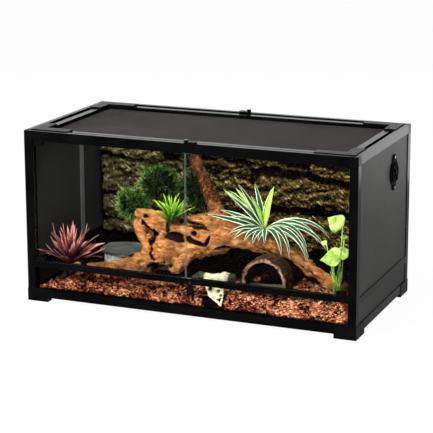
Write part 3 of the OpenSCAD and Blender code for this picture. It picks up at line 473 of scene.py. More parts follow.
# red-brown bark with pale broken faces; every chip has its own tone; painted light makes it
# brighter to the right, and painted shade nearly black at the back and in the hide
bark = new_material("bark_chips", Specular_IOR_Level=0.06)
along = add(bark, "TexCoord", out="Object")
patches = add(bark, "TexNoise", {"Vector": along, "Scale": 1000 / 7.7, "Detail": 5,
                                 "Roughness": 0.7})
clumps = add(bark, "TexNoise", {"Vector": along, "Scale": 1000 / 38.5, "Roughness": 0.6})
fibres = add(bark, "TexNoise", {"Vector": add(bark, "Mapping", {"Vector": along,
                                                                "Scale": (1, 3, 3)}),
                                "Scale": 1000 / 2.4, "Detail": 4, "Roughness": 0.6})
# painted light: brighter to the right, darker to the left
lit_to_right = add(bark, "SeparateXYZ", {"Vector": along}, out="X")
shade = add(bark, "Attribute", attribute_name="chip", out="Fac")
for source, low, high, darker, lighter in ((patches, 0, 1, -0.35, 0.35),
                                           (lit_to_right, -0.35, 0.35, -0.27, 0.17),
                                           (clumps, 0.3, 0.65, -0.45, 0.3)):
    change = add(bark, "MapRange", {"Value": source, "From Min": low, "From Max": high,
                                    "To Min": darker, "To Max": lighter})
    shade = add(bark, "Math", {0: shade, 1: change}, operation="ADD")
red = add(bark, "ValToRGB", {"Fac": shade}, stops=[
    (0.0, "#140604"), (0.2, "#582314"), (0.5, "#ac553a"), (0.8, "#e09468"), (1.0, "#f6c89a")])
# painted shade: nearly black at the back and inside the hide
shaded_bark = add(bark, "Mix", {0: add(bark, "Attribute", attribute_name="bed_shade", out="Fac"), 6: red,
                        7: tone("#070302")}, out=2, data_type="RGBA")
surface(bark, shaded_bark, patches, (0.65, 0.85), fibres, depth=0.8, share=0.7)
make_piece("bark_chips_bed", bm, bark, smooth=False, replaces=["bark_bed"])


# ---- Driftwood
# A weathered root with bare orange-brown wood: a tongue along the front, two stacked
# lobes with slits between them, an arch to the right and a branch up to the rocks.
def merged_skin(bm, voxel):
    """Joins the overlapping closed shapes of a bmesh into one skin."""
    mesh = bpy.data.meshes.new("skin")
    bm.to_mesh(mesh)
    bm.free()
    raw = bpy.data.objects.new("skin", mesh)
    bpy.context.collection.objects.link(raw)
    cover = raw.modifiers.new("skin", "REMESH")
    cover.mode = "VOXEL"
    cover.voxel_size = voxel
    done = bpy.data.meshes.new_from_object(
        raw.evaluated_get(bpy.context.evaluated_depsgraph_get()))
    bpy.data.objects.remove(raw)
    skin = bmesh.new()
    skin.from_mesh(done)
    return skin


def add_limb(bm, a, b):
    """A tapering limb of balls from (x, y, z, radius) to another, in millimetres."""
    ball_step = 0.007
    start, stop = spot(*a[:3]), spot(*b[:3])
    count = max(2, int((stop - start).length / ball_step))
    for i in range(count + 1):
        t = i / count
        r = (a[3] + (b[3] - a[3]) * t) / 1000
        bmesh.ops.create_icosphere(bm, subdivisions=2, radius=r,
                                   matrix=Matrix.Translation(start.lerp(stop, t)))


# limbs as (x, y, z, radius) from joint to joint: the tongue along the front, the lower
# lobes, the upper lobes, the arch to the right, the branch, and two feet in the bark
runs = [
    [(-344, -165, 85, 8), (-291, -165, 90, 12), (-226, -160, 96, 18), (-162, -145, 106, 28)],
    [(-162, -140, 110, 30), (-101, -133, 127, 27), (-57, -145, 108, 17), (-32, -125, 138, 16),
     (3, -110, 163, 17), (48, -95, 178, 24)],
    [(-197, -82, 187, 11), (-182, -92, 169, 13), (-162, -105, 153, 15), (-142, -122, 134, 18)],
    [(-149, -110, 138, 26), (-115, -108, 156, 28), (-66, -108, 154, 30), (-15, -105, 160, 30),
     (48, -95, 176, 28)],
    [(-206, -64, 190, 18), (-175, -65, 200, 22), (-136, -75, 180, 24), (-77, -80, 182, 23),
     (-4, -85, 184, 26), (50, -85, 188, 28)],
    [(-199, -70, 219, 14), (-171, -62, 218, 17), (-136, -62, 205, 20), (-106, -66, 195, 23)],
    [(-63, -45, 208, 17), (-17, -50, 214, 24), (35, -60, 205, 28), (84, -75, 198, 27),
     (126, -85, 190, 25)],
    [(50, -85, 188, 28), (123, -90, 186, 24), (195, -100, 178, 21), (251, -108, 158, 18),
     (304, -120, 134, 16), (353, -132, 112, 13), (388, -140, 100, 11), (404, -144, 84, 9)],
    [(16, -45, 222, 25), (-9, -20, 264, 18), (-37, 0, 300, 15), (-68, 25, 338, 13),
     (-99, 50, 368, 12), (-117, 66, 390, 10)],
    [(-136, -75, 180, 24), (-150, -30, 110, 26), (-160, 0, 62, 22)],
    [(-162, -140, 110, 30), (-150, -120, 56, 24)],
    [(-176, -62, 184, 12), (-138, -82, 164, 16)]]
bm = bmesh.new()
for run in runs:
    for a, b in zip(run, run[1:]):
        add_limb(bm, a, b)
bm = merged_skin(bm, voxel=0.003)
bmesh.ops.smooth_vert(bm, verts=bm.verts, factor=0.5, use_axis_x=True, use_axis_y=True,
                      use_axis_z=True)
bm.normal_update()
painted_shade_layer = bm.verts.layers.float.new("hollow")
# recesses worn in the wood, in painted shade: x, y, z, half length, half height, depth, slope
worn_and_shaded = [(-78, -118, 181, 30, 9, 34, -0.08), (-16, -118, 177, 32, 6.5, 28, -0.24),
        (-30, -118, 194, 8, 5, 14, 0.2), (16, -118, 181, 5, 14, 20, 0.9),
        (-143, -104, 172, 13, 18, 36, -0.2), (-167, -96, 190, 24, 10, 30, -0.74),
        (-176, -84, 217, 8, 6, 14, 0), (-110, -92, 198, 7, 12, 18, -0.9),
        (-36, -84, 207, 52, 3.6, 14, -0.03), (-128, -148, 138, 16, 5, 16, -1.0),
        (-88, -160, 124, 4, 4, 8, 0), (-70, -160, 116, 5, 4, 8, 0),
        (-104, -150, 101, 32, 19, 40, -0.05), (60, -108, 164, 26, 4, 12, 0.2),
        (180, -118, 172, 40, 3, 5, -0.25), (300, -132, 132, 44, 3, 5, -0.42)]
worn_and_shaded = [(spot(*w[:3]), w[3] / 1000, w[4] / 1000, w[5] / 1000, w[6]) for w in worn_and_shaded]
lump_rise, fibre_rise, facet_rise, groove_deep = 0.0095, 0.0008, 0.003, 0.006
moves = []
for v in bm.verts:
    p = v.co
    flow = Vector((p.x * 13, p.y * 34, p.z * 36 + p.x * 12))
    ridge = noise.ridged_multi_fractal(flow, 0.8, 2.1, 4, 1, 2)
    groove = soft(ridge, 1.25, 2.1)
    lump = noise.fractal(p * 19, 0.8, 2, 4)
    facet = noise.cell(Vector((p.x * 22 + lump * 2, p.y * 30, p.z * 34 + p.x * 9)))
    fibre = noise.fractal(Vector((p.x * 40, p.y * 160, p.z * 160)), 0.8, 2, 3)
    deep, near = 0.0, 0.0
    for at, long, high, far, lean in worn_and_shaded:
        gap = p - at
        if abs(gap.x) > long * 1.6:
            continue
        ragged = 1 + 0.35 * noise.noise(p * 110)
        r = ((gap.x / long) ** 2 + ((gap.z - gap.x * lean) / high) ** 2) * ragged
        r += (gap.y / 0.06) ** 2
        deep = max(deep, far * soft(1 - r, 0.0, 0.3))
        near = max(near, soft(2.4 - r, 0, 1.6))
    deep *= soft(-v.normal.y, -0.1, 0.35)
    moves.append(v.normal * (lump * lump_rise + fibre * fibre_rise + facet * facet_rise
                             - groove * groove_deep) + Vector((0, deep, 0)))
    # painted shade in the grooves, recesses and round them; painted light on the lumps
    v[painted_shade_layer] = groove * 0.45 + deep * 130 + near * 0.28 - lump * 0.35
for v, move in zip(bm.verts, moves):
    v.co += move
# weathered wood: soft orange-brown with pale fibres, redder and darker up the branch, the
# darkness painted shade, and painted shade nearly black in the slits and recesses
wood = new_material("bare_driftwood", Specular_IOR_Level=0.25)
along = add(wood, "TexCoord", out="Object")
fibres = add(wood, "TexNoise", {"Vector": add(wood, "Mapping", {"Vector": along,
                                                                "Scale": (1, 3.4, 3.4)}),
                                "Scale": 1000 / 25, "Detail": 6, "Roughness": 0.6,
                                "Distortion": 0.6})
climbing = add(wood, "TexNoise", {"Vector": add(wood, "Mapping", {"Vector": along,
                                                                  "Scale": (4, 3, 0.9)}),
                                  "Scale": 1000 / 25, "Detail": 6, "Roughness": 0.65,
                                  "Distortion": 0.4})
blotches = add(wood, "TexNoise", {"Vector": along, "Scale": 1000 / 62.5, "Detail": 4,
                                  "Roughness": 0.6})
bare = add(wood, "ValToRGB", {"Fac": fibres}, stops=[
    (0.3, "#5f3418"), (0.44, "#94592d"), (0.58, "#b77c47"), (0.74, "#deac78")])
redder = add(wood, "ValToRGB", {"Fac": climbing}, stops=[
    (0.37, "#140803"), (0.52, "#3e2010"), (0.67, "#7e4a25")])
height = add(wood, "SeparateXYZ", {"Vector": along}, out="Z")
# painted shade: the wood turns darker as well as redder up the branch
upper = add(wood, "Math", {
    0: add(wood, "MapRange", {"Value": blotches, "From Min": 0.45, "From Max": 0.7}),
    1: add(wood, "MapRange", {"Value": height, "From Min": 0.215, "From Max": 0.27,
                              "To Max": 0.9})}, operation="ADD", use_clamp=True)
mixed = add(wood, "Mix", {0: upper, 6: bare, 7: redder}, out=2, data_type="RGBA")
shadow = add(wood, "MapRange", {"Value": add(wood, "Attribute", attribute_name="hollow",
                                             out="Fac"), "From Min": 0.2, "From Max": 0.9})
slits = add(wood, "Mix", {0: shadow, 6: mixed, 7: tone("#140803")}, out=2, data_type="RGBA")
surface(wood, slits, fibres, (0.55, 0.75), fibres, depth=0.8, share=0.8)
make_piece("driftwood_root", bm, wood, replaces=["driftwood"])


# ---- Bromeliad
# Moulded rosette of stiff pointed leaves, salmon with maroon hearts, on a short stem
# that stands in the bark.
# degrees from one leaf to the next, and a leaf's width at its root as a share of the whole
golden_turn = 137.5
root_share = 0.4


def leaf_blade(bm, root, turn, slope, fall, long, wide, fold, parts, point, twist=0.0,
               face=0.0):
    """One strap leaf: a grid bent along a falling curve and folded at its midrib. A larger
    point keeps it wide for longer; face rolls it to the front."""
    bm.loops.layers.uv.verify()
    made = bmesh.ops.create_grid(bm, x_segments=2, y_segments=parts, size=0.5,
                                 calc_uvs=True)["verts"]
    ahead = Vector((math.cos(math.radians(turn)), math.sin(math.radians(turn)), 0))
    across = Vector((-ahead.y, ahead.x, 0))
    up = Vector((0, 0, 1))
    steps = 24
    track = [Vector((0, 0, 0))]
    for i in range(steps):
        pitch = math.radians(slope - fall * ((i + 0.5) / steps) ** 1.3)
        track.append(track[-1] + (ahead * math.cos(pitch) + up * math.sin(pitch)) * long / steps)
    for v in made:
        t = v.co.y + 0.5
        s = v.co.x * 2
        at = t * steps
        i = min(int(at), steps - 1)
        pitch = math.radians(slope - fall * t ** 1.3)
        normal = up * math.cos(pitch) - ahead * math.sin(pitch)
        roll = math.radians(twist * t + face * ahead.x)
        edge = across * math.cos(roll) + normal * math.sin(roll)
        half = wide / 2 * (root_share + (1 - root_share) * soft(t, 0, 0.35)) * (
            1 - t ** (1 + point)) ** 0.8
        v.co = (root + track[i].lerp(track[i + 1], at - i) + edge * s * half
                + normal * abs(s) * half * fold)


def make_leaves(name, bm, mat, replaces=(), thick=0.0008):
    """Makes the piece and gives its leaves their thickness."""
    piece = make_piece(name, bm, mat, replaces=replaces)
    wall = piece.modifiers.new("thickness", "SOLIDIFY")
    wall.thickness = thick
    wall.offset = 0


def plug(bm, at, r_low, r_high, depth, segments=16):
    """The short stem that carries a rosette, centred on a place."""
    bmesh.ops.create_cone(bm, cap_ends=True, segments=segments, radius1=r_low, radius2=r_high,
                          depth=depth, matrix=Matrix.Translation(at))


def place_on_leaf(mat, off_midrib, lump, sway):
    """Place along a leaf, 0 at its root and 1 at its tip, or off its midrib, 0 to 0.5. Noise
    with lumps of so many millimetres moves it by sway[0] to sway[1]."""
    at = add(mat, "SeparateXYZ", {"Vector": add(mat, "TexCoord", out="UV")},
             out="X" if off_midrib else "Y")
    if off_midrib:
        from_mid = add(mat, "Math", {0: at, 1: 0.5}, operation="SUBTRACT")
        at = add(mat, "Math", {0: from_mid}, operation="ABSOLUTE")
    lumps = add(mat, "TexNoise", {"Vector": add(mat, "TexCoord", out="Object"),
                                  "Scale": 1000 / lump, "Detail": 4, "Roughness": 0.6})
    wander = add(mat, "MapRange", {"Value": lumps, "To Min": sway[0], "To Max": sway[1]})
    return add(mat, "Math", {0: at, 1: wander}, operation="ADD")


chance = random.Random(5)
crown = spot(-369, -138, 82)
bm = bmesh.new()
# leaves as turn, slope and fall in degrees, then length and width in millimetres
rosette = [(200, 26, -34, 88, 18), (172, 34, -30, 96, 18), (192, 54, -30, 122, 17),
           (150, 50, 24, 118, 18), (120, 44, 20, 112, 20), (92, 70, -24, 118, 18),
           (62, 46, 24, 112, 20), (30, 56, -26, 120, 18), (20, 46, 30, 110, 20),
           (2, 24, -10, 116, 20), (-24, 38, 16, 100, 20), (-48, 52, -20, 92, 18),
           (-74, 40, 22, 78, 18), (-104, 56, -24, 92, 18), (-132, 38, 18, 80, 18)]
for turn, slope, fall, long, wide in rosette:
    leaf_blade(bm, crown, turn, slope, fall, long / 1000, wide / 1000, fold=0.45, parts=8,
               point=1.0, twist=chance.uniform(-40, 40))
for i in range(34):
    leaf_blade(bm, crown + Vector((0, 0, 0.004)), i * golden_turn, chance.uniform(26, 84),
               chance.uniform(-24, 34), chance.uniform(0.07, 0.112), 0.0135, fold=0.5,
               parts=6, point=1.0, twist=chance.uniform(-50, 50))
plug(bm, crown + Vector((0, 0, -0.02)), r_low=0.011, r_high=0.013, depth=0.04, segments=20)
# moulded polyethylene, dyed maroon at the heart and salmon outwards, with a soft gloss
salmon = new_material("salmon_leaf", Specular_IOR_Level=0.35)
along_leaf = place_on_leaf(salmon, False, 22.2, (-0.5, 0.4))
maroon_heart = add(salmon, "ValToRGB", {"Fac": along_leaf}, stops=[
    (0.0, "#0c0306"), (0.35, "#3c0e18"), (0.6, "#8f4140"), (0.85, "#dc9c90"), (1.0, "#c48078")])
surface(salmon, maroon_heart, smear=3.3, satin=(0.4, 0.55), grit=2, depth=0.3, share=0.6)
make_leaves("bromeliad_rosette", bm, salmon, ["bromeliad"])


# ---- Bushes
# Three clumps of fine moulded foliage: fans of thin needles, dark green with lighter tips,
# on wire stems.
chance = random.Random(23)
needle_long, needle_root, needle_tip = 0.025, 0.0016, 0.0003


def needle_fan(long, count):
    """One sprig: thin three-sided needles spread round an upward axis."""
    fan = bmesh.new()
    tips = fan.verts.layers.float.new("tip")
    for j in range(count):
        turn = j * 2.4
        aim = Vector((math.cos(turn) * 0.75, math.sin(turn) * 0.75, chance.uniform(0.4, 1.3)))
        aim.normalize()
        length = long * chance.uniform(0.75, 1.15)
        made = bmesh.ops.create_cone(
            fan, cap_ends=True, segments=3, radius1=needle_root, radius2=needle_tip, depth=length,
            matrix=aim.to_track_quat("Z", "Y").to_matrix().to_4x4()
            @ Matrix.Translation((0, 0, length / 2)))["verts"]
        for v in made:
            v[tips] = v.co.length / length
    mesh = bpy.data.meshes.new("fan")
    fan.to_mesh(mesh)
    fan.free()
    return mesh


fans = [needle_fan(needle_long, count=12) for i in range(5)]
fans_on_bush = 72
# clumps as x, y, z, radius and flattening
bush_spots = [(-276, 62, 210, 42, 0.86), (-206, 86, 266, 58, 0.72), (-97, 84, 262, 47, 1.0)]
bm = bmesh.new()
bm.verts.layers.float.new("tip")
for x, y, z, r, low in bush_spots:
    heart = spot(x, y, z)
    stem_top = spot(x, y + r * 0.6, z)
    stem_foot = spot(x, y + r * 0.6, 60.5)
    bmesh.ops.create_cone(bm, cap_ends=True, segments=10, radius1=0.003, radius2=0.0022,
                          depth=(stem_top - stem_foot).length,
                          matrix=Matrix.Translation((stem_top + stem_foot) / 2))
    bmesh.ops.create_icosphere(bm, subdivisions=2, radius=r * 0.00068,
                               matrix=Matrix.Translation(heart))
    for i in range(fans_on_bush):
        aim = Vector((chance.gauss(0, 1), chance.gauss(0, 0.8) - 0.25, chance.gauss(0, 1) + 0.2))
        aim.normalize()
        out = Vector((aim.x, aim.y, aim.z * low)) * r / 1000 * chance.uniform(0.5, 0.86)
        fan = fans[i % len(fans)].copy()
        fan.transform(Matrix.Translation(heart + out)
                      @ aim.to_track_quat("Z", "Y").to_matrix().to_4x4()
                      @ Matrix.Rotation(chance.uniform(0, 6.28), 4, "Z"))
        bm.from_mesh(fan)
        bpy.data.meshes.remove(fan)
# soft moulded plastic, painted nearly black inside the clump as shade, and lighter at the
# tips and the left
fir = new_material("dark_fine_foliage", Specular_IOR_Level=0.3)
along = add(fir, "TexCoord", out="Object")
lumps = add(fir, "TexNoise", {"Vector": along, "Scale": 1000 / 25, "Detail": 4,
                              "Roughness": 0.6})
across = add(fir, "SeparateXYZ", {"Vector": along}, out="X")
shade = add(fir, "Attribute", attribute_name="tip", out="Fac")
for source, low, high, first, last in ((lumps, 0, 1, -0.4, 0.3),
                                       (across, -0.27, -0.2, 0.08, -0.05)):
    change = add(fir, "MapRange", {"Value": source, "From Min": low, "From Max": high,
                                   "To Min": first, "To Max": last})
    shade = add(fir, "Math", {0: shade, 1: change}, operation="ADD")
# painted shade: each needle is nearly black at its root, inside the clump
green = add(fir, "ValToRGB", {"Fac": shade}, stops=[
    (0.0, "#010200"), (0.5, "#081605"), (0.78, "#284f14"), (1.0, "#a4cc66")])
surface(fir, green, smear=3.3, satin=(0.45, 0.6), grit=1.25, depth=0.2)
make_piece("needle_bushes", bm, fir, smooth=False, replaces=["bushes"])


# ---- Grass tuft
# A soft plastic tuft of narrow lime blades, plugged into a hole in the driftwood.
chance = random.Random(31)
bm = bmesh.new()
tuft_root = spot(-103, -78, 210)
for i in range(64):
    turn = i * golden_turn
    slope = 88 - 52 * ((i % 16) / 15) + chance.uniform(-8, 8)
    leaf_blade(bm, tuft_root + Vector((math.cos(turn), math.sin(turn), 0)) * 0.004, turn, slope,
               chance.uniform(0, 36), chance.uniform(0.042, 0.078), 0.0062, fold=0.4, parts=6,
               point=1.6)
plug(bm, tuft_root + Vector((0, 0, -0.007)), r_low=0.007, r_high=0.008, depth=0.02)
# moulded plastic, dark at the root and fresh lime at the tips
lime = new_material("lime_blades", Specular_IOR_Level=0.35)
blade_green = add(lime, "ValToRGB", {"Fac": place_on_leaf(lime, False, 11.1, (-0.25, 0.25))},
                  stops=[(0.0, "#082406"), (0.4, "#286c10"), (0.72, "#72b020"),
                         (1.0, "#cce450")])
surface(lime, blade_green, smear=3.3, satin=(0.35, 0.5), grit=1.7, depth=0.2)
make_leaves("lime_tuft", bm, lime, ["grass_tuft"], thick=0.0006)


# ---- Spider plant
# Long moulded leaves that arch from one heart: dark green with cream margins, and a
# few plain lime ones standing up in the middle.
chance = random.Random(37)
bm = bmesh.new()
heart = spot(163, -93, 218)
# turn, slope, fall, length, width
arching = [(196, 14, 8, 150, 17), (184, 24, 16, 126, 16), (170, 42, 12, 140, 18),
           (202, 46, 10, 128, 17), (196, 60, 8, 136, 17), (150, 70, 8, 122, 16),
           (14, 30, 80, 186, 14), (-4, 22, 74, 190, 14), (-26, 20, 84, 180, 14),
           (-46, 20, 92, 130, 14), (-70, 14, 70, 70, 14), (-104, 10, 80, 66, 14),
           (-140, 14, 60, 90, 15), (-14, 10, 80, 168, 14), (190, 30, 46, 116, 14),
           (214, 18, 50, 96, 14), (-88, 6, 60, 56, 13), (-122, 16, 74, 74, 14),
           (4, 34, 96, 168, 12), (-20, 34, 104, 174, 12), (-36, 26, 108, 150, 12),
           (178, 50, 30, 112, 13)]
for turn, slope, fall, long, wide in arching:
    leaf_blade(bm, heart, turn, slope + 4, fall * 1.15, long / 1000, wide / 1000, fold=0.22,
               parts=12, point=1.6, face=42)
plug(bm, heart + Vector((0, 0, -0.012)), r_low=0.0095, r_high=0.011, depth=0.022)
# printed leaf: a pale midrib, dark green, and cream margins
striped = new_material("cream_edged_leaf", Specular_IOR_Level=0.35)
cream_edges = add(striped, "ValToRGB",
                  {"Fac": place_on_leaf(striped, True, 8.3, (-0.06, 0.06))},
                  stops=[(0.0, "#3f7248"), (0.07, "#0d3320"), (0.3, "#17452c"),
                         (0.36, "#c9d4a8"), (0.5, "#eef0da")])
surface(striped, cream_edges, smear=3.3, satin=(0.35, 0.5), grit=2, depth=0.3)
make_leaves("arching_leaves", bm, striped, ["spider_plant"])

bm = bmesh.new()
upright = [(40, 80, 6, 112, 24), (172, 52, 8, 128, 17), (176, 42, 10, 148, 16),
           (188, 70, 8, 92, 15)]
for turn, slope, fall, long, wide in upright:
    leaf_blade(bm, heart + Vector((0, 0, 0.003)), turn, slope, fall, long / 1000, wide / 1000,
               fold=0.4, parts=10, point=1.6, face=40)
# printed leaf: a broad yellow-lime middle with a dark line inside its pale edge
fresh = new_material("lime_midleaf", Specular_IOR_Level=0.35)
lime_middle = add(fresh, "ValToRGB", {"Fac": place_on_leaf(fresh, True, 12.5, (-0.1, 0.1))},
                  stops=[(0.0, "#c2d66a"), (0.25, "#86b040"), (0.4, "#42801f"),
                         (0.5, "#d8e690")])
surface(fresh, lime_middle, smear=3.3, satin=(0.35, 0.5), grit=2, depth=0.3)
make_leaves("upright_leaves", bm, fresh)


# ---- Broadleaf plant
# Thin stems in the right front corner, each with broad pale yellow-green leaves.
def add_stem(bm, foot, top, segments, top_r):
    """A thin tapering stem."""
    rise = top - foot
    bmesh.ops.create_cone(bm, cap_ends=True, segments=segments, radius1=0.0013, radius2=top_r,
                          depth=rise.length, matrix=Matrix.Translation((top + foot) / 2)
                          @ rise.to_track_quat("Z", "Y").to_matrix().to_4x4())


def broad_leaf(bm, at, turn, slope, long, wide):
    """A broad leaf: a grid with a pointed outline, cupped about its midrib and tipped to
    the front by slope."""
    bm.loops.layers.uv.verify()
    made = bmesh.ops.create_grid(bm, x_segments=6, y_segments=8, size=0.5,
                                 calc_uvs=True)["verts"]
    frame_turn = (Matrix.Rotation(math.radians(slope), 3, "X")
                  @ Matrix.Rotation(math.radians(turn), 3, "Z"))
    for v in made:
        t, s = v.co.y + 0.5, v.co.x * 2
        half = wide / 2 * max(math.sin(math.pi * (0.03 + 0.97 * t) ** 0.55), 0) ** 1.15
        flat = Vector((t * long, s * half, abs(s) * half * 0.22 - t * t * long * 0.22))
        v.co = at + frame_turn @ flat


chance = random.Random(41)
bm = bmesh.new()
root = spot(398, -176, 82)
# leaves as x, y, z and length, then turn and slope
tops = [(393, -165, 266, 60, 155, 62), (394, -178, 192, 66, 188, 50), (386, -172, 196, 44, 25, 56),
        (350, -160, 217, 20, 160, 50), (398, -168, 236, 22, 100, 40)]
for x, y, z, long, turn, slope in tops:
    at = spot(x, y, z)
    foot = root + Vector((chance.uniform(-0.018, 0.0), chance.uniform(-0.004, 0.006), 0))
    add_stem(bm, foot, at, segments=8, top_r=0.0009)
    broad_leaf(bm, at, turn, slope, long * 0.00085, long * 0.0008)
for i in range(8):
    at = spot(chance.uniform(362, 400), chance.uniform(-184, -166), chance.uniform(150, 184))
    foot = root + Vector((chance.uniform(-0.026, 0.0), chance.uniform(-0.004, 0.006), 0))
    add_stem(bm, foot, at, segments=6, top_r=0.0007)
# thin moulded film, pale yellow-green in soft blotches and darker low down
pale = new_material("pale_broad_leaf", Specular_IOR_Level=0.35)
along = add(pale, "TexCoord", out="Object")
blotches = add(pale, "TexNoise", {"Vector": along, "Scale": 1000 / 18.2, "Detail": 4,
                                  "Roughness": 0.6})
low_down = add(pale, "MapRange", {"Value": add(pale, "SeparateXYZ", {"Vector": along}, out="Z"),
                                  "From Min": 0.13, "From Max": 0.17, "To Min": -0.1,
                                  "To Max": 0})
shade = add(pale, "Math", {0: blotches, 1: low_down}, operation="ADD")
yellow_green = add(pale, "ValToRGB", {"Fac": shade}, stops=[
    (0.3, "#4a7a26"), (0.44, "#90b248"), (0.56, "#bcd474"), (0.75, "#e4efac")])
surface(pale, yellow_green, shade, (0.35, 0.55), grit=3.8, depth=0.5, share=0.6)
make_leaves("broad_leaves", bm, pale, ["broadleaf_plant"])


# ---- Skull
# Cast resin skull, cream with painted shade in its hollows and ridged olive-grey horns,
# standing on its snout behind the lower glass.
bm = bmesh.new()
# bones and horns as limbs, with x from the middle of the skull
bones = [((-20, -186, 101, 14), (16, -183, 104, 16)), ((-20, -188, 92, 12), (-12, -198, 66, 8)),
         ((4, -186, 92, 15), (8, -198, 66, 10)), ((-12, -198, 66, 8), (6, -202, 50, 4.5)),
         ((19, -196, 80, 6), (21, -203, 57, 3.5)), ((21, -203, 57, 3.5), (17, -204, 42, 3.5)),
         ((17, -204, 42, 3.5), (9, -203, 48, 3.5))]
horns = [((-22, -184, 106, 10), (-46, -182, 104, 13)), ((-46, -182, 104, 13), (-60, -180, 96, 11)),
         ((16, -176, 110, 12), (34, -168, 106, 11))]
for a, b in bones + horns:
    add_limb(bm, (skull_x + a[0],) + a[1:], (skull_x + b[0],) + b[1:])
bm = merged_skin(bm, voxel=0.0016)
painted_shade_layer = bm.verts.layers.float.new("hollow")
horn_layer = bm.verts.layers.float.new("horn")
# eye and nose sockets and the gaps of the cheeks, in painted shade: x, y, z, radius
sockets = [(56, -204, 80, 7), (80, -208, 78, 6.5), (68, -208, 62, 4), (86, -204, 66, 4)]
for v in bm.verts:
    deep = 0.0
    for x, y, z, r in sockets:
        gap = (v.co - spot(x, y, z)).length * 1000
        if gap < r * 1.5:
            deep = max(deep, soft(1.5 - gap / r, 0, 1.1))
    crease = soft(noise.ridged_multi_fractal(v.co * 60, 0.9, 2, 3, 1, 2), 1.2, 2.2)
    v[painted_shade_layer] = deep + crease * 0.4
    side = measure(v.co).x - skull_x
    horn = max(soft(-side, 30, 36), soft(side, 27, 31)) * soft(v.co.z * 1000, 80, 90)
    v[horn_layer] = horn
    rings = math.sin(side * 1.5 + v.co.z * 300)
    v.co += v.normal * (noise.fractal(v.co * 90, 0.8, 2, 3) * 0.0012 - crease * 0.0008
                        + rings * horn * 0.0009)
    v.co.y += deep * 0.011
# cast resin: cream stained brown in its pores and olive on the horns; painted shade darkens
# the sockets and creases
bone_resin = new_material("cast_resin_bone", Specular_IOR_Level=0.3)
stains = add(bone_resin, "TexNoise", {"Vector": add(bone_resin, "TexCoord", out="Object"),
                                      "Scale": 1000 / 7.7, "Detail": 5, "Roughness": 0.6})
cream = add(bone_resin, "ValToRGB", {"Fac": stains}, stops=[
    (0.3, "#9c9062"), (0.46, "#ded8aa"), (0.62, "#f8f5da")])
olive = add(bone_resin, "ValToRGB", {"Fac": stains}, stops=[
    (0.3, "#14140c"), (0.5, "#3c3e2c"), (0.7, "#6e7258")])
horned = add(bone_resin, "Mix", {0: add(bone_resin, "Attribute", attribute_name="horn",
                                        out="Fac"), 6: cream, 7: olive}, out=2,
             data_type="RGBA")
shadow = add(bone_resin, "MapRange", {"Value": add(bone_resin, "Attribute",
                                                   attribute_name="hollow", out="Fac"),
                                      "From Min": 0.3, "From Max": 0.9})
shaded = add(bone_resin, "Mix", {0: shadow, 6: horned, 7: tone("#17100a")}, out=2,
             data_type="RGBA")
surface(bone_resin, shaded, stains, (0.45, 0.65), stains, depth=0.6, share=0.6)
make_piece("lizard_skull", bm, bone_resin, replaces=["skull"])


# ---- Cork hide
# A length of bent cork bark: dark furrowed outside, ragged pinkish-tan rims, an inner face
# in painted shade, nearly black, and a thin beige floor of cork.
hide_mid = (hide_low + hide_high) / 2
spare = 0.001
cork_thick = 0.009
hide_r = (hide_high.x - hide_low.x) / 2 - spare
leg = hide_high.z - hide_low.z - hide_r - spare
bm = bmesh.new()
inner, outer = (bm.verts.new((hide_mid.x + hide_r - back, hide_low.y + spare, hide_low.z))
                for back in (cork_thick, 0))
raised = bmesh.ops.extrude_edge_only(bm, edges=[bm.edges.new((inner, outer))])["geom"]
top_edge = [g for g in raised if isinstance(g, bmesh.types.BMEdge) and not g.link_faces[1:]
            and all(v in raised for v in g.verts)][:1]
bmesh.ops.translate(bm, verts=points_of(raised), vec=(0, 0, leg))
swept = bmesh.ops.spin(bm, geom=top_edge, cent=(hide_mid.x, hide_low.y, hide_low.z + leg),
                       axis=(0, -1, 0), angle=math.pi, steps=60, use_merge=False)["geom_last"]
lowered = bmesh.ops.extrude_edge_only(
    bm, edges=[g for g in swept if isinstance(g, bmesh.types.BMEdge)])["geom"]
bmesh.ops.translate(bm, verts=points_of(lowered), vec=(0, 0, -leg))
bmesh.ops.subdivide_edges(bm, edges=[e for e in bm.edges if e.calc_length() > 0.0085], cuts=3,
                          use_grid_fill=True)
bmesh.ops.remove_doubles(bm, verts=bm.verts, dist=0.00001)
bm.normal_update()
wall = bmesh.ops.extrude_face_region(bm, geom=bm.faces[:])["geom"]
bmesh.ops.translate(bm, verts=points_of(wall),
                    vec=(0, hide_high.y - hide_low.y - 2 * spare, 0))
bmesh.ops.subdivide_edges(bm, edges=[e for e in bm.edges
                                     if abs(e.verts[0].co.y - e.verts[1].co.y) > 0.03],
                          cuts=24, use_grid_fill=True)
bmesh.ops.recalc_face_normals(bm, faces=bm.faces)
bm.normal_update()
skin_layer = bm.verts.layers.float.new("outer")
heart_line = Vector((hide_mid.x, 0, hide_low.z + leg))
for v in bm.verts:
    flat = Vector((v.co.x, 0, v.co.z)) - heart_line
    r = abs(flat.x) if flat.z < 0 else flat.length
    v[skin_layer] = soft(r, hide_r - 0.0035, hide_r - 0.001)
    rough = noise.fractal(v.co * 75, 0.8, 2, 4)
    furrow = soft(noise.ridged_multi_fractal(Vector((v.co.x * 40, v.co.y * 18, v.co.z * 40)),
                                             0.9, 2, 3, 1, 2), 1.1, 2.2)
    if v.co.z > hide_low.z + 0.002:
        teeth = soft(hide_low.y + 0.012 - v.co.y, 0, 0.008) * noise.noise(v.co * 170) * 0.003
        v.co += flat.normalized() * (rough * 0.0022 + teeth - furrow * 0.0024 * v[skin_layer])
        v.co.y += noise.noise(v.co * 90) * 0.0022
part = bmesh.new()
floor_layer = part.verts.layers.float.new("floor")
floor_deep, floor_thick = 0.046, 0.003
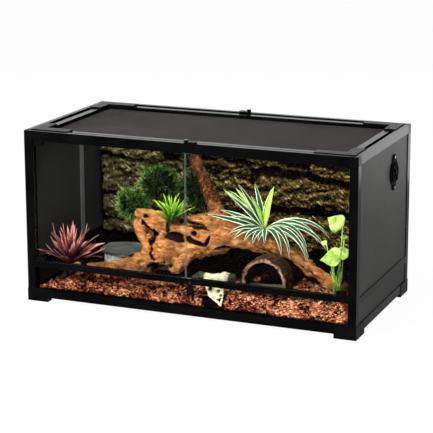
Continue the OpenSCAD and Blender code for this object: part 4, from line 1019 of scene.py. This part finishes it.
bmesh.ops.create_grid(part, x_segments=40, y_segments=20, size=0.5, matrix=Matrix.LocRotScale(
    Vector((hide_mid.x, hide_low.y + 0.003 + floor_deep / 2, hide_low.z + spare + floor_thick)),
    None, Vector((hide_r * 2 - 0.022, floor_deep, 1))))
raised = bmesh.ops.extrude_face_region(part, geom=part.faces[:])["geom"]
for v in part.verts:
    across = (v.co.x - hide_mid.x) / hide_r
    v.co.z += across ** 4 * 0.01 + noise.fractal(v.co * 60, 0.8, 2, 4) * 0.002
    v[floor_layer] = 1
bmesh.ops.translate(part, verts=points_of(raised), vec=(0, 0, -floor_thick))
bmesh.ops.recalc_face_normals(part, faces=part.faces)
bm.verts.layers.float.new("floor")
gather(bm, part)
# peeled bark: dark furrows outside, freshly torn pink-tan rims, painted shade inside
cork = new_material("cork_bark", Specular_IOR_Level=0.15)
along = add(cork, "TexCoord", out="Object")
furrows = add(cork, "TexNoise", {"Vector": add(cork, "Mapping", {"Vector": along,
                                                                 "Scale": (1, 0.5, 1)}),
                                 "Scale": 1000 / 9.1, "Detail": 6, "Roughness": 0.7})
outside, rim_tan, inside, beige = (add(cork, "ValToRGB", {"Fac": furrows}, stops=stops)
                                   for stops in (
    [(0.3, "#140c08"), (0.5, "#3b2a20"), (0.7, "#6e5443")],
    [(0.35, "#3a241a"), (0.5, "#8a6250"), (0.65, "#c09884")],
    [(0.3, "#040201"), (0.5, "#0c0704"), (0.7, "#1a110b")],
    [(0.3, "#4e4430"), (0.5, "#857a5c"), (0.7, "#aca283")]))
# behind the rim the inner face is painted shade, nearly black
behind_rim = add(cork, "MapRange", {"Value": add(cork, "SeparateXYZ", {"Vector": along},
                                                 out="Y"),
                                    "From Min": hide_low.y + 0.001,
                                    "From Max": hide_low.y + 0.006})
colour = add(cork, "Mix", {0: behind_rim, 6: rim_tan, 7: inside}, out=2, data_type="RGBA")
for part_name, part_tone in (("outer", outside), ("floor", beige)):
    colour = add(cork, "Mix", {0: add(cork, "Attribute", attribute_name=part_name, out="Fac"),
                               6: colour, 7: part_tone}, out=2, data_type="RGBA")
surface(cork, colour, furrows, (0.7, 0.9), furrows, depth=2.2, share=0.8)
make_piece("bent_cork_bark", bm, cork, replaces=["cork_hide"])


# ---- Slate ledge and ribbed dish
# A thin split slate laid on a stone-grey moulded dish with an upright ribbed wall.
slate_low, slate_high = (Vector(c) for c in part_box("slate_ledge"))
slate_spare = 0.0006
outline = [(-332, -45), (-300, -75), (-228, -84), (-206, -50), (-212, 30), (-268, 50),
           (-332, 22)]
bm = bmesh.new()
bm.faces.new([bm.verts.new(spot(x, y, 0) + Vector((0, 0, slate_low.z + slate_spare)))
              for x, y in outline])
bmesh.ops.subdivide_edges(bm, edges=bm.edges[:], cuts=9)
raised = bmesh.ops.extrude_face_region(bm, geom=bm.faces[:])["geom"]
bmesh.ops.translate(bm, verts=points_of(raised),
                    vec=(0, 0, slate_high.z - slate_low.z - 2 * slate_spare))
bmesh.ops.recalc_face_normals(bm, faces=bm.faces)
mid = (slate_low + slate_high) / 2
for v in bm.verts:
    chip = noise.fractal(v.co * 45, 0.8, 2, 4)
    step = noise.noise(Vector((v.co.x * 90, v.co.y * 90, v.co.z * 500)))
    inward = Vector((mid.x - v.co.x, mid.y - v.co.y, 0)).normalized()
    v.co += inward * (0.0025 + 0.003 * chip + 0.0014 * step)
# split face: dark grey in thin layers, with a faint dusty sheen
slate = new_material("split_slate", Specular_IOR_Level=0.3)
layered = add(slate, "Mapping", {"Vector": add(slate, "TexCoord", out="Object"),
                                 "Scale": (1, 1.6, 4)})
splits = add(slate, "TexNoise", {"Vector": layered, "Scale": 1000 / 33.3, "Detail": 6,
                                 "Roughness": 0.65})
slate_grey = add(slate, "ValToRGB", {"Fac": splits}, stops=[
    (0.25, "#1f2220"), (0.5, "#3a3e3a"), (0.75, "#5d625d")])
surface(slate, slate_grey, splits, (0.4, 0.6), splits, depth=2, share=0.7)
make_piece("slate_plate", bm, slate, smooth=False, replaces=["slate_ledge"])

dish_low, dish_high = (Vector(c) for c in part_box("ribbed_dish"))
dish_mid = (dish_low + dish_high) / 2
dish_r = (dish_high.x - dish_low.x) / 2
rib_count, rib_deep = 42, 0.0024
groove_r = dish_r - 0.0025
bm = bmesh.new()
bmesh.ops.create_cone(bm, cap_ends=True, segments=4 * rib_count, radius1=groove_r,
                      radius2=groove_r, depth=dish_high.z - dish_low.z,
                      matrix=Matrix.Translation(dish_mid))
caps = [f for f in bm.faces if abs(f.normal.z) > 0.9]
bmesh.ops.inset_region(bm, faces=caps, thickness=0.006, depth=0)
for v in bm.verts:
    flat = Vector((v.co.x - dish_mid.x, v.co.y - dish_mid.y, 0))
    around = math.atan2(flat.y, flat.x)
    if flat.length > dish_r - 0.004:
        v.co += flat.normalized() * (rib_deep * abs(math.cos(around * rib_count / 2)) ** 0.6
                                     + 0.0004 * noise.noise(v.co * 200))
# cast stone powder: mid grey with light and dark grains
stone = new_material("moulded_stone", Specular_IOR_Level=0.3)
upright = add(stone, "Mapping", {"Vector": add(stone, "TexCoord", out="Object"),
                                 "Scale": (1, 1, 0.4)})
specks = add(stone, "TexNoise", {"Vector": upright, "Scale": 1000 / 6.25, "Detail": 5,
                                 "Roughness": 0.7})
stone_grey = add(stone, "ValToRGB", {"Fac": specks}, stops=[
    (0.3, "#4c4e4d"), (0.5, "#9b9e9d"), (0.68, "#d6d8d6")])
surface(stone, stone_grey, specks, (0.45, 0.65), specks, depth=0.9, share=0.7)
make_piece("ribbed_stone_dish", bm, stone, replaces=["ribbed_dish"])


# ---- Floor, backdrop, lamps and camera
# A plain white studio: the floor and the world are white to the camera and in mirrors
# and through glass, and the floor keeps a faint shadow.
bm = bmesh.new()
bmesh.ops.create_grid(bm, x_segments=2, y_segments=2, size=9,
                      matrix=Matrix.Translation((0, 3, -0.0005)))
mesh = bpy.data.meshes.new("studio_floor")
bm.to_mesh(mesh)
bm.free()
floor = bpy.data.objects.new("studio_floor", mesh)
bpy.context.collection.objects.link(floor)
paper = new_material("white_paper")
mesh.materials.append(paper)


def seen_straight(mat):
    """1 for rays from the camera, from a mirror or through glass, else 0."""
    seen = 0.0
    for ray in ("Is Camera Ray", "Is Glossy Ray", "Is Transmission Ray"):
        seen = add(mat, "Math", {0: seen, 1: add(mat, "LightPath", out=ray)},
                   operation="MAXIMUM")
    return seen


lit = add(paper, "BsdfDiffuse", {"Color": (0.8, 0.8, 0.8, 1)})
glow = add(paper, "Emission", {"Color": (1, 1, 1, 1), "Strength": 1.0})
# a small share of the lit paper keeps the faint shadow
share = add(paper, "Math", {0: seen_straight(paper), 1: 0.975}, operation="MULTIPLY")
shade_with(paper, add(paper, "MixShader", {0: share, 1: lit, 2: glow}))

world = bpy.data.worlds.new("white_studio")
bpy.context.scene.world = world
world.use_nodes = True
sky = world.node_tree.nodes["Background"]
sky.inputs["Color"].default_value = (1, 1, 1, 1)
strength = add(world, "MapRange", {"Value": seen_straight(world), "To Min": 0.16})
world.node_tree.links.new(strength, sky.inputs["Strength"])


def lamp(name, at, aim, wide, high, power, hidden=False):
    """A soft rectangular lamp, not seen by the camera or through the glass; a hidden one
    is not mirrored either."""
    light = bpy.data.lights.new(name, "AREA")
    light.shape = "RECTANGLE"
    light.size = wide
    light.size_y = high
    light.energy = power
    holder = bpy.data.objects.new(name, light)
    holder.location = at
    holder.rotation_euler = (Vector(aim) - Vector(at)).to_track_quat("-Z", "Y").to_euler()
    holder.visible_camera = False
    holder.visible_transmission = False
    holder.visible_glossy = not hidden
    bpy.context.collection.objects.link(holder)


lamp("front_soft", (-1.4, -2.9, 2.3), (0, 0, 0.2), 1.4, 1.0, 150, hidden=True)
lamp("top_soft", (-0.2, -0.5, 1.7), (0, 0, 0.1), 1.2, 0.6, 120, hidden=True)
lamp("right_soft", (3.0, -0.6, 1.2), (0.4, 0, 0.2), 1.2, 1.2, 10, hidden=True)
lamp("rear_card", (-1.3, 3.2, 1.35), (0, 0, 0.45), 4.0, 1.2, 28)
lamp("rail_card", (1.0, 1.25, 0.2), (0.45, 0, 0.4), 1.0, 0.32, 5)

# the photo's view: degrees to the right of the front, down, and rolled
view_turn, view_down, view_roll = 22.507, 12.811, -0.149
view = bpy.data.cameras.new("photo_view")
view.lens = 134.29
view.sensor_width = 36
view.shift_y = -0.1
camera = bpy.data.objects.new("photo_view", view)
camera.matrix_world = Matrix.LocRotScale(
    Vector((1.56307, -3.79455, 1.26580)),
    Matrix.Rotation(math.radians(view_turn), 3, "Z")
    @ Matrix.Rotation(math.radians(90 - view_down), 3, "X")
    @ Matrix.Rotation(math.radians(view_roll), 3, "Z"), None)
bpy.context.collection.objects.link(camera)
bpy.context.scene.camera = camera
bpy.context.scene.view_settings.view_transform = "Standard"
